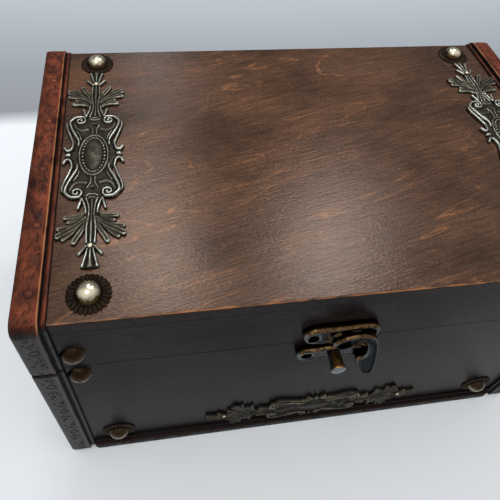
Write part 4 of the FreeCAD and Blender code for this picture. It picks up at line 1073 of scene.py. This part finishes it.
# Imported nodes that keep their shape

KEPT_NODES = {
    "wall_wood": ("lid_front_rail", "lid_back_rail", "lid_left_end", "lid_right_end", "base_front_panel",
                  "base_back_panel", "base_left_end", "base_right_end"),
    "bottom_ply": ("base_bottom",),
    "nail_brass": ("lid_rosette_nails", "lid_ornament_nails", "front_ornament_nails"),
    "dulled_brass": ("base_rosette_nails",),
    "stud_brass": ("lid_studs", "base_studs"),
    "post_bronze": ("latch_post",),
    "rivet_iron": ("latch_pivot_rivet",),
    "hinge_brass": ("hinge_left_base_leaf", "hinge_right_base_leaf", "hinge_left_lid_leaf",
                    "hinge_right_lid_leaf"),
    "pin_steel": ("hinge_left_pin", "hinge_right_pin"),
    "screw_steel": ("latch_hook_screws", "latch_post_screws", "hinge_base_screws", "hinge_lid_screws"),
}
# Rounding of the edges of cast, rolled and sawn pieces, in millimetres
SOFT_EDGES = {"post_bronze": 0.5, "hinge_brass": 0.25, "wall_wood": 0.3, "bottom_ply": 0.3}
# Points closer than this are joined first; edges sharper than this angle, in degrees, are rounded
WELD_REACH, SHARP_ANGLE = 0.002, 40


def finish_nodes(*slots):
    """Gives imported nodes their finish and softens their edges."""
    for slot in slots:
        for name in KEPT_NODES[slot]:
            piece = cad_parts[name]
            piece.data.materials.clear()
            piece.data.materials.append(FINISHES[slot])
            if slot in SOFT_EDGES:
                weld = piece.modifiers.new("weld", "WELD")
                weld.merge_threshold = WELD_REACH * MM
                edge = piece.modifiers.new("soft_edge", "BEVEL")
                edge.width = SOFT_EDGES[slot] * MM
                edge.segments = 3
                edge.limit_method = "ANGLE"
                edge.angle_limit = math.radians(SHARP_ANGLE)
                edge.harden_normals = True


# Operators

class CHEST_OT_finishes(bpy.types.Operator):
    """Make the chest's materials"""

    bl_idname = "chest.finishes"
    bl_label = "Finishes"

    def execute(self, context):
        FINISHES.update(make_finishes(context.scene.chest_finish))
        return {"FINISHED"}


class CHEST_OT_wood(bpy.types.Operator):
    """Finish the lid, the walls and the bottom"""

    bl_idname = "chest.wood"
    bl_label = "Wooden Boards"

    def execute(self, context):
        lid_board(context.scene.chest_relief.edge_round / MM)
        finish_nodes("wall_wood", "bottom_ply")
        return {"FINISHED"}


class CHEST_OT_bands(bpy.types.Operator):
    """Build the embossed end bands of the lid and the base"""

    bl_idname = "chest.bands"
    bl_label = "Embossed Bands"

    def execute(self, context):
        relief = context.scene.chest_relief
        lid_seam, base_seam = BAND_LOW[2], BASE_BAND_HIGH[2]
        lid_rise = LID_TOP - lid_seam
        lid_run = lid_rise + BAND_PROUD - LID_CORNER + LID_CORNER * math.pi / 2
        lid_ring = lid_run + WOOD_HALF_DEPTH + BAND_PROUD - LID_CORNER - LID_RING
        for name, side in SIDES.items():
            arch_band(f"lid_{name}_band", side, lid_seam, lid_rise, LID_CORNER, False, lid_ring,
                      relief, "lid")
            arch_band(f"base_{name}_band", side, base_seam, base_seam - FLOOR_BOARD, BASE_CORNER, True,
                      BASE_RING, relief, "base")
        return {"FINISHED"}


class CHEST_OT_plinths(bpy.types.Operator):
    """Build the embossed strips along the foot of the front and the back"""

    bl_idname = "chest.plinths"
    bl_label = "Plinths"

    def execute(self, context):
        relief = context.scene.chest_relief
        plinth_strip("front_plinth", -1, relief)
        plinth_strip("back_plinth", 1, relief)
        return {"FINISHED"}


class CHEST_OT_mounts(bpy.types.Operator):
    """Build the leafy stamped mounts on the lid and the front"""

    bl_idname = "chest.mounts"
    bl_label = "Stamped Mounts"

    def execute(self, context):
        sheet = stamped_sheet(context.scene.chest_relief)
        for name in SIDES:
            low, high = box_mm(f"lid_{name}_ornament")
            middle = (*(low[:2] + high[:2]) / 2, low[2])
            place_mount(f"lid_{name}_mount", sheet, middle, False, "lid", f"lid_{name}_ornament")
        middle = (FRONT_MOUNT_LOW + FRONT_MOUNT_HIGH) / 2
        middle[1] = FRONT_MOUNT_HIGH[1]
        place_mount("front_mount", sheet, middle, True, "base", "front_ornament")
        return {"FINISHED"}


class CHEST_OT_washers(bpy.types.Operator):
    """Build the petalled washers under the domed nails"""

    bl_idname = "chest.washers"
    bl_label = "Petalled Washers"

    def execute(self, context):
        thickness = ROSETTE_HIGH[2] - ROSETTE_LOW[2]
        radius = (BASE_ROSETTE_HIGH[2] - BASE_ROSETTE_LOW[2]) / 2
        form = washer_form(context.scene.chest_relief, radius, thickness)
        on_lid = [(x * (ROSETTE_HIGH[0] - radius), y * (ROSETTE_HIGH[1] - radius), ROSETTE_LOW[2])
                  for x in (-1, 1) for y in (-1, 1)]
        on_base = [(x * (BASE_ROSETTE_HIGH[0] - radius), BASE_ROSETTE_HIGH[1], BASE_ROSETTE_LOW[2] + radius)
                   for x in (-1, 1)]
        place_washers("lid_washers", form, on_lid, False, "lid", "lid_rosettes")
        place_washers("base_washers", form, on_base, True, "base", "base_rosettes")
        return {"FINISHED"}


class CHEST_OT_fittings(bpy.types.Operator):
    """Finish the nails, studs, latch and hinges"""

    bl_idname = "chest.fittings"
    bl_label = "Nails, Latch and Hinges"

    def execute(self, context):
        finish_nodes("nail_brass", "dulled_brass", "stud_brass", "post_bronze", "rivet_iron", "hinge_brass",
                     "pin_steel", "screw_steel")
        return {"FINISHED"}


class CHEST_OT_latch(bpy.types.Operator):
    """Build the horn hook and the two latch plates"""

    bl_idname = "chest.latch"
    bl_label = "Latch"

    def execute(self, context):
        step = context.scene.chest_relief.mesh_step / MM
        rivet, post = (sum(box_mm(name)) / 2 for name in ("latch_pivot_rivet", "latch_post"))
        screws = [((side * SCREW_SPOT, 0.0), SCREW_HOLE) for side in SIDES.values()]
        for name, spot, hole, turned, body in (
                ("latch_hook_plate", rivet, RIVET_HOLE, False, "lid"),
                ("latch_post_plate", post, POST_HOLE, True, "base")):
            low, high = box_mm(name)
            length, height = high[0] - low[0], high[2] - low[2]
            face = box_mm(name.replace("plate", "screws"))[0][1]
            boss = (BOSS_RADIUS, face - low[1]) if body == "lid" else None
            line = line_through(*PLATE) * (length, height)
            holes = screws + [((0.0, 0.0), hole)]
            form = cast_form(line, high[1] - face, PLATE_ROUND, PLATE_DISH, holes, boss)
            half = (length / 2, height / 2)
            cast_piece(name, form, (spot[0], high[1], spot[2]), turned, [-side for side in half], half,
                       step, body, "latch_bronze")
        low, high = box_mm("latch_hook")
        line = line_through(*HORN) * (rivet[2] - post[2])
        form = cast_form(line, high[1] - low[1], HOOK_ROUND, HOOK_DISH, [((0.0, 0.0), RIVET_HOLE)])
        corner, far = (low - rivet)[[0, 2]], (high - rivet)[[0, 2]]
        cast_piece("latch_hook", form, (rivet[0], high[1], rivet[2]), False, corner, far, step,
                   "hook", "hook_bronze")
        return {"FINISHED"}


# Camera: place in millimetres, angles in degrees; focal length and optical axis in pixels of the frame
CAMERA_SPOT = (-77.86, -170.42, 321.69)
CAMERA_YAW, CAMERA_PITCH, CAMERA_ROLL = 13.40, 48.66, 6.65
FRAME_SIDE, FOCAL, AXIS = 500, 522.66, (234.36, 183.48)
# Sensor width in millimetres and nearest distance seen in metres
SENSOR, NEAR = 36.0, 0.01
# The floor's half side; its pale sheet ends so far behind the chest's middle, and fades over a run
FLOOR_HALF, SHEET_END, SHEET_LEAD, SHEET_FADE = 2500.0, 203.0, 18.0, 220.0
# Share of its colour that the floor gives off to the eye and to reflections
FLOOR_GLOW = 0.1
# Lamps look at this spot. Each: place and size in millimetres, share of the lamp power, colour
LAMP_AIM = (0, 0, 100)
LAMPS = {
    "window_left": ((-90, 410, 850), (130, 280), 1.0, "#f6f9ff"),
    "window_right": ((265, 380, 850), (150, 240), 1.0, "#f6f9ff"),
    "window_far": ((-60, 990, 850), (150, 300), 0.32, "#f6f9ff"),
    "ceiling": ((-250, -220, 1200), (300, 300), 1.6, "#fffdf8"),
}


def pose(right, up, back, spot):
    """Matrix with these axes at a spot in millimetres."""
    matrix = np.eye(4)
    matrix[:3] = np.column_stack([right, up, back, np.array(spot) * MM])
    return Matrix(matrix.tolist())


def aim(spot, target):
    """Matrix at a spot, its -Z axis towards a target, both in millimetres."""
    spot, target = np.array(spot, float), np.array(target, float)
    back = (spot - target) / np.linalg.norm(spot - target)
    right = np.cross((0, 0, 1), back)
    right /= np.linalg.norm(right)
    return pose(right, np.cross(back, right), back, spot)


def soft_lamp(name, spot, target, size, power, colour):
    """Rectangular soft lamp."""
    lamp = bpy.data.lights.new(name, "AREA")
    lamp.shape = "RECTANGLE"
    lamp.size, lamp.size_y = (side * MM for side in size)
    lamp.energy = power
    lamp.color = colour[:3]
    holder = bpy.data.objects.new(name, lamp)
    holder.matrix_world = aim(spot, target)
    bpy.context.scene.collection.objects.link(holder)


def floor_material(stage):
    """Matt card sheet on a painted table: plain and pale, with a soft edge where the sheet ends."""
    material, tree = new_material("card_matt")
    place = add(tree, "ShaderNodeTexCoord").outputs["Object"]
    parts = add(tree, "ShaderNodeSeparateXYZ", (place,)).outputs
    mottle = add(tree, "ShaderNodeTexNoise", {"Vector": place, "Scale": per_mm(60)[0], "Detail": 2.0})
    tone = add(tree, "ShaderNodeMapRange", (mottle, 0.0, 1.0, -2 * MM, 2 * MM))
    reach = add(tree, "ShaderNodeMath", (parts[1], tone), operation="ADD")
    start = SHEET_END - SHEET_LEAD
    share = add(tree, "ShaderNodeMapRange", (reach, start * MM, (start + SHEET_FADE) * MM))
    sheet, table = tuple(stage.floor), tuple(stage.table)
    # The table is darkest by the sheet's edge and paler further back: painted shade, as where a wall meets a
    # floor
    colour = add(tree, "ShaderNodeValToRGB", (share,), stops=(
        (0.0, sheet), (0.09, table), (0.35, shade(table, 1.12)), (1.0, shade(table, 1.7))))

    # Pale to the eye and in reflections, without lighting the chest
    path = add(tree, "ShaderNodeLightPath").outputs
    rays = (path["Is Glossy Ray"], path["Is Transmission Ray"])
    mirrored = add(tree, "ShaderNodeMath", rays, operation="MAXIMUM")
    seen = add(tree, "ShaderNodeMath", (path["Is Camera Ray"], mirrored), operation="MAXIMUM")
    glow = add(tree, "ShaderNodeMath", (seen, FLOOR_GLOW), operation="MULTIPLY")
    return surfaced(material, {
        "Base Color": colour, "Emission Color": colour, "Emission Strength": glow,
        "Roughness": 0.9, "Specular IOR Level": 0.2})


class CHEST_OT_stage(bpy.types.Operator):
    """Make the floor, the soft lamps and the camera"""

    bl_idname = "chest.stage"
    bl_label = "Stage"

    def execute(self, context):
        scene, stage = context.scene, context.scene.chest_stage
        half = FLOOR_HALF * MM
        corners = [(-half, -half, 0), (half, -half, 0), (half, half, 0), (-half, half, 0)]
        mesh = bpy.data.meshes.new("floor")
        mesh.from_pydata(corners, [], [(0, 1, 2, 3)])
        mesh.materials.append(floor_material(stage))
        floor = bpy.data.objects.new("floor", mesh)
        scene.collection.objects.link(floor)
        for name, (spot, size, share, colour) in LAMPS.items():
            soft_lamp(name, spot, LAMP_AIM, size, share * stage.lamp_power, linear(colour))

        # Even light from all round, weaker low down and behind the chest
        world = bpy.data.worlds.new("soft_room")
        world.use_nodes = True
        tree = world.node_tree
        tree.nodes.clear()
        towards = add(tree, "ShaderNodeTexCoord").outputs["Generated"]
        parts = add(tree, "ShaderNodeSeparateXYZ", (towards,)).outputs
        overhead = add(tree, "ShaderNodeMapRange", (parts[2], 0.0, 0.9, 0.5, 1.0))
        behind = add(tree, "ShaderNodeMapRange", (parts[1], 0.2, 0.6, 1.0, 0.35))
        level = add(tree, "ShaderNodeMath", (overhead, behind), operation="MULTIPLY")
        strength = add(tree, "ShaderNodeMath", (level, stage.sky), operation="MULTIPLY")
        sky = add(tree, "ShaderNodeBackground", (linear("#f1f4f8"), strength))
        add(tree, "ShaderNodeOutputWorld", (sky,))
        scene.world = world
        scene.view_settings.view_transform = "Standard"

        yaw, pitch, roll = (math.radians(a) for a in (CAMERA_YAW, CAMERA_PITCH, CAMERA_ROLL))
        flat = math.cos(pitch)
        forward = np.array([math.sin(yaw) * flat, math.cos(yaw) * flat, -math.sin(pitch)])
        across = np.cross(forward, (0, 0, 1))
        across /= np.linalg.norm(across)
        under = np.cross(forward, across)
        right = math.cos(roll) * across - math.sin(roll) * under
        down = math.sin(roll) * across + math.cos(roll) * under
        camera = bpy.data.cameras.new("camera")
        camera.sensor_width = SENSOR
        camera.lens = FOCAL * SENSOR / FRAME_SIDE
        camera.shift_x = (FRAME_SIDE / 2 - AXIS[0]) / FRAME_SIDE
        camera.shift_y = (AXIS[1] - FRAME_SIDE / 2) / FRAME_SIDE
        camera.clip_start = NEAR
        holder = bpy.data.objects.new("camera", camera)
        holder.matrix_world = pose(right, -down, -forward, CAMERA_SPOT)
        scene.collection.objects.link(holder)
        scene.camera = holder
        return {"FINISHED"}


OPERATORS = (CHEST_OT_finishes, CHEST_OT_wood, CHEST_OT_bands, CHEST_OT_plinths, CHEST_OT_mounts,
             CHEST_OT_washers, CHEST_OT_latch, CHEST_OT_fittings, CHEST_OT_stage)


class CHEST_PT_dressing(bpy.types.Panel):
    """Lists the steps that dress the chest"""

    bl_idname = "CHEST_PT_dressing"
    bl_label = "Wooden Chest"
    bl_space_type = "VIEW_3D"
    bl_region_type = "UI"
    bl_category = "Chest"

    def draw(self, context):
        for operator in OPERATORS:
            self.layout.operator(operator.bl_idname)
        for group in (context.scene.chest_relief, context.scene.chest_finish, context.scene.chest_stage):
            box = self.layout.box()
            for name in group.__annotations__:
                box.prop(group, name)


GROUPS = (ChestRelief, ChestFinish, ChestStage)
CLASSES = (*GROUPS, *OPERATORS, CHEST_PT_dressing)


def register():
    """Registers the classes and puts their settings on the scene."""
    for item in CLASSES:
        bpy.utils.register_class(item)
    bpy.types.Scene.chest_relief = bpy.props.PointerProperty(type=ChestRelief)
    bpy.types.Scene.chest_finish = bpy.props.PointerProperty(type=ChestFinish)
    bpy.types.Scene.chest_stage = bpy.props.PointerProperty(type=ChestStage)


def unregister():
    """Takes the settings and the classes away."""
    del bpy.types.Scene.chest_stage
    del bpy.types.Scene.chest_finish
    del bpy.types.Scene.chest_relief
    for item in reversed(CLASSES):
        bpy.utils.unregister_class(item)


def main():
    """Dresses the chest."""
    register()
    for step in ("finishes", "wood", "bands", "plinths", "mounts", "washers", "latch", "fittings", "stage"):
        getattr(bpy.ops.chest, step)()


if __name__ == "__main__":
    main()
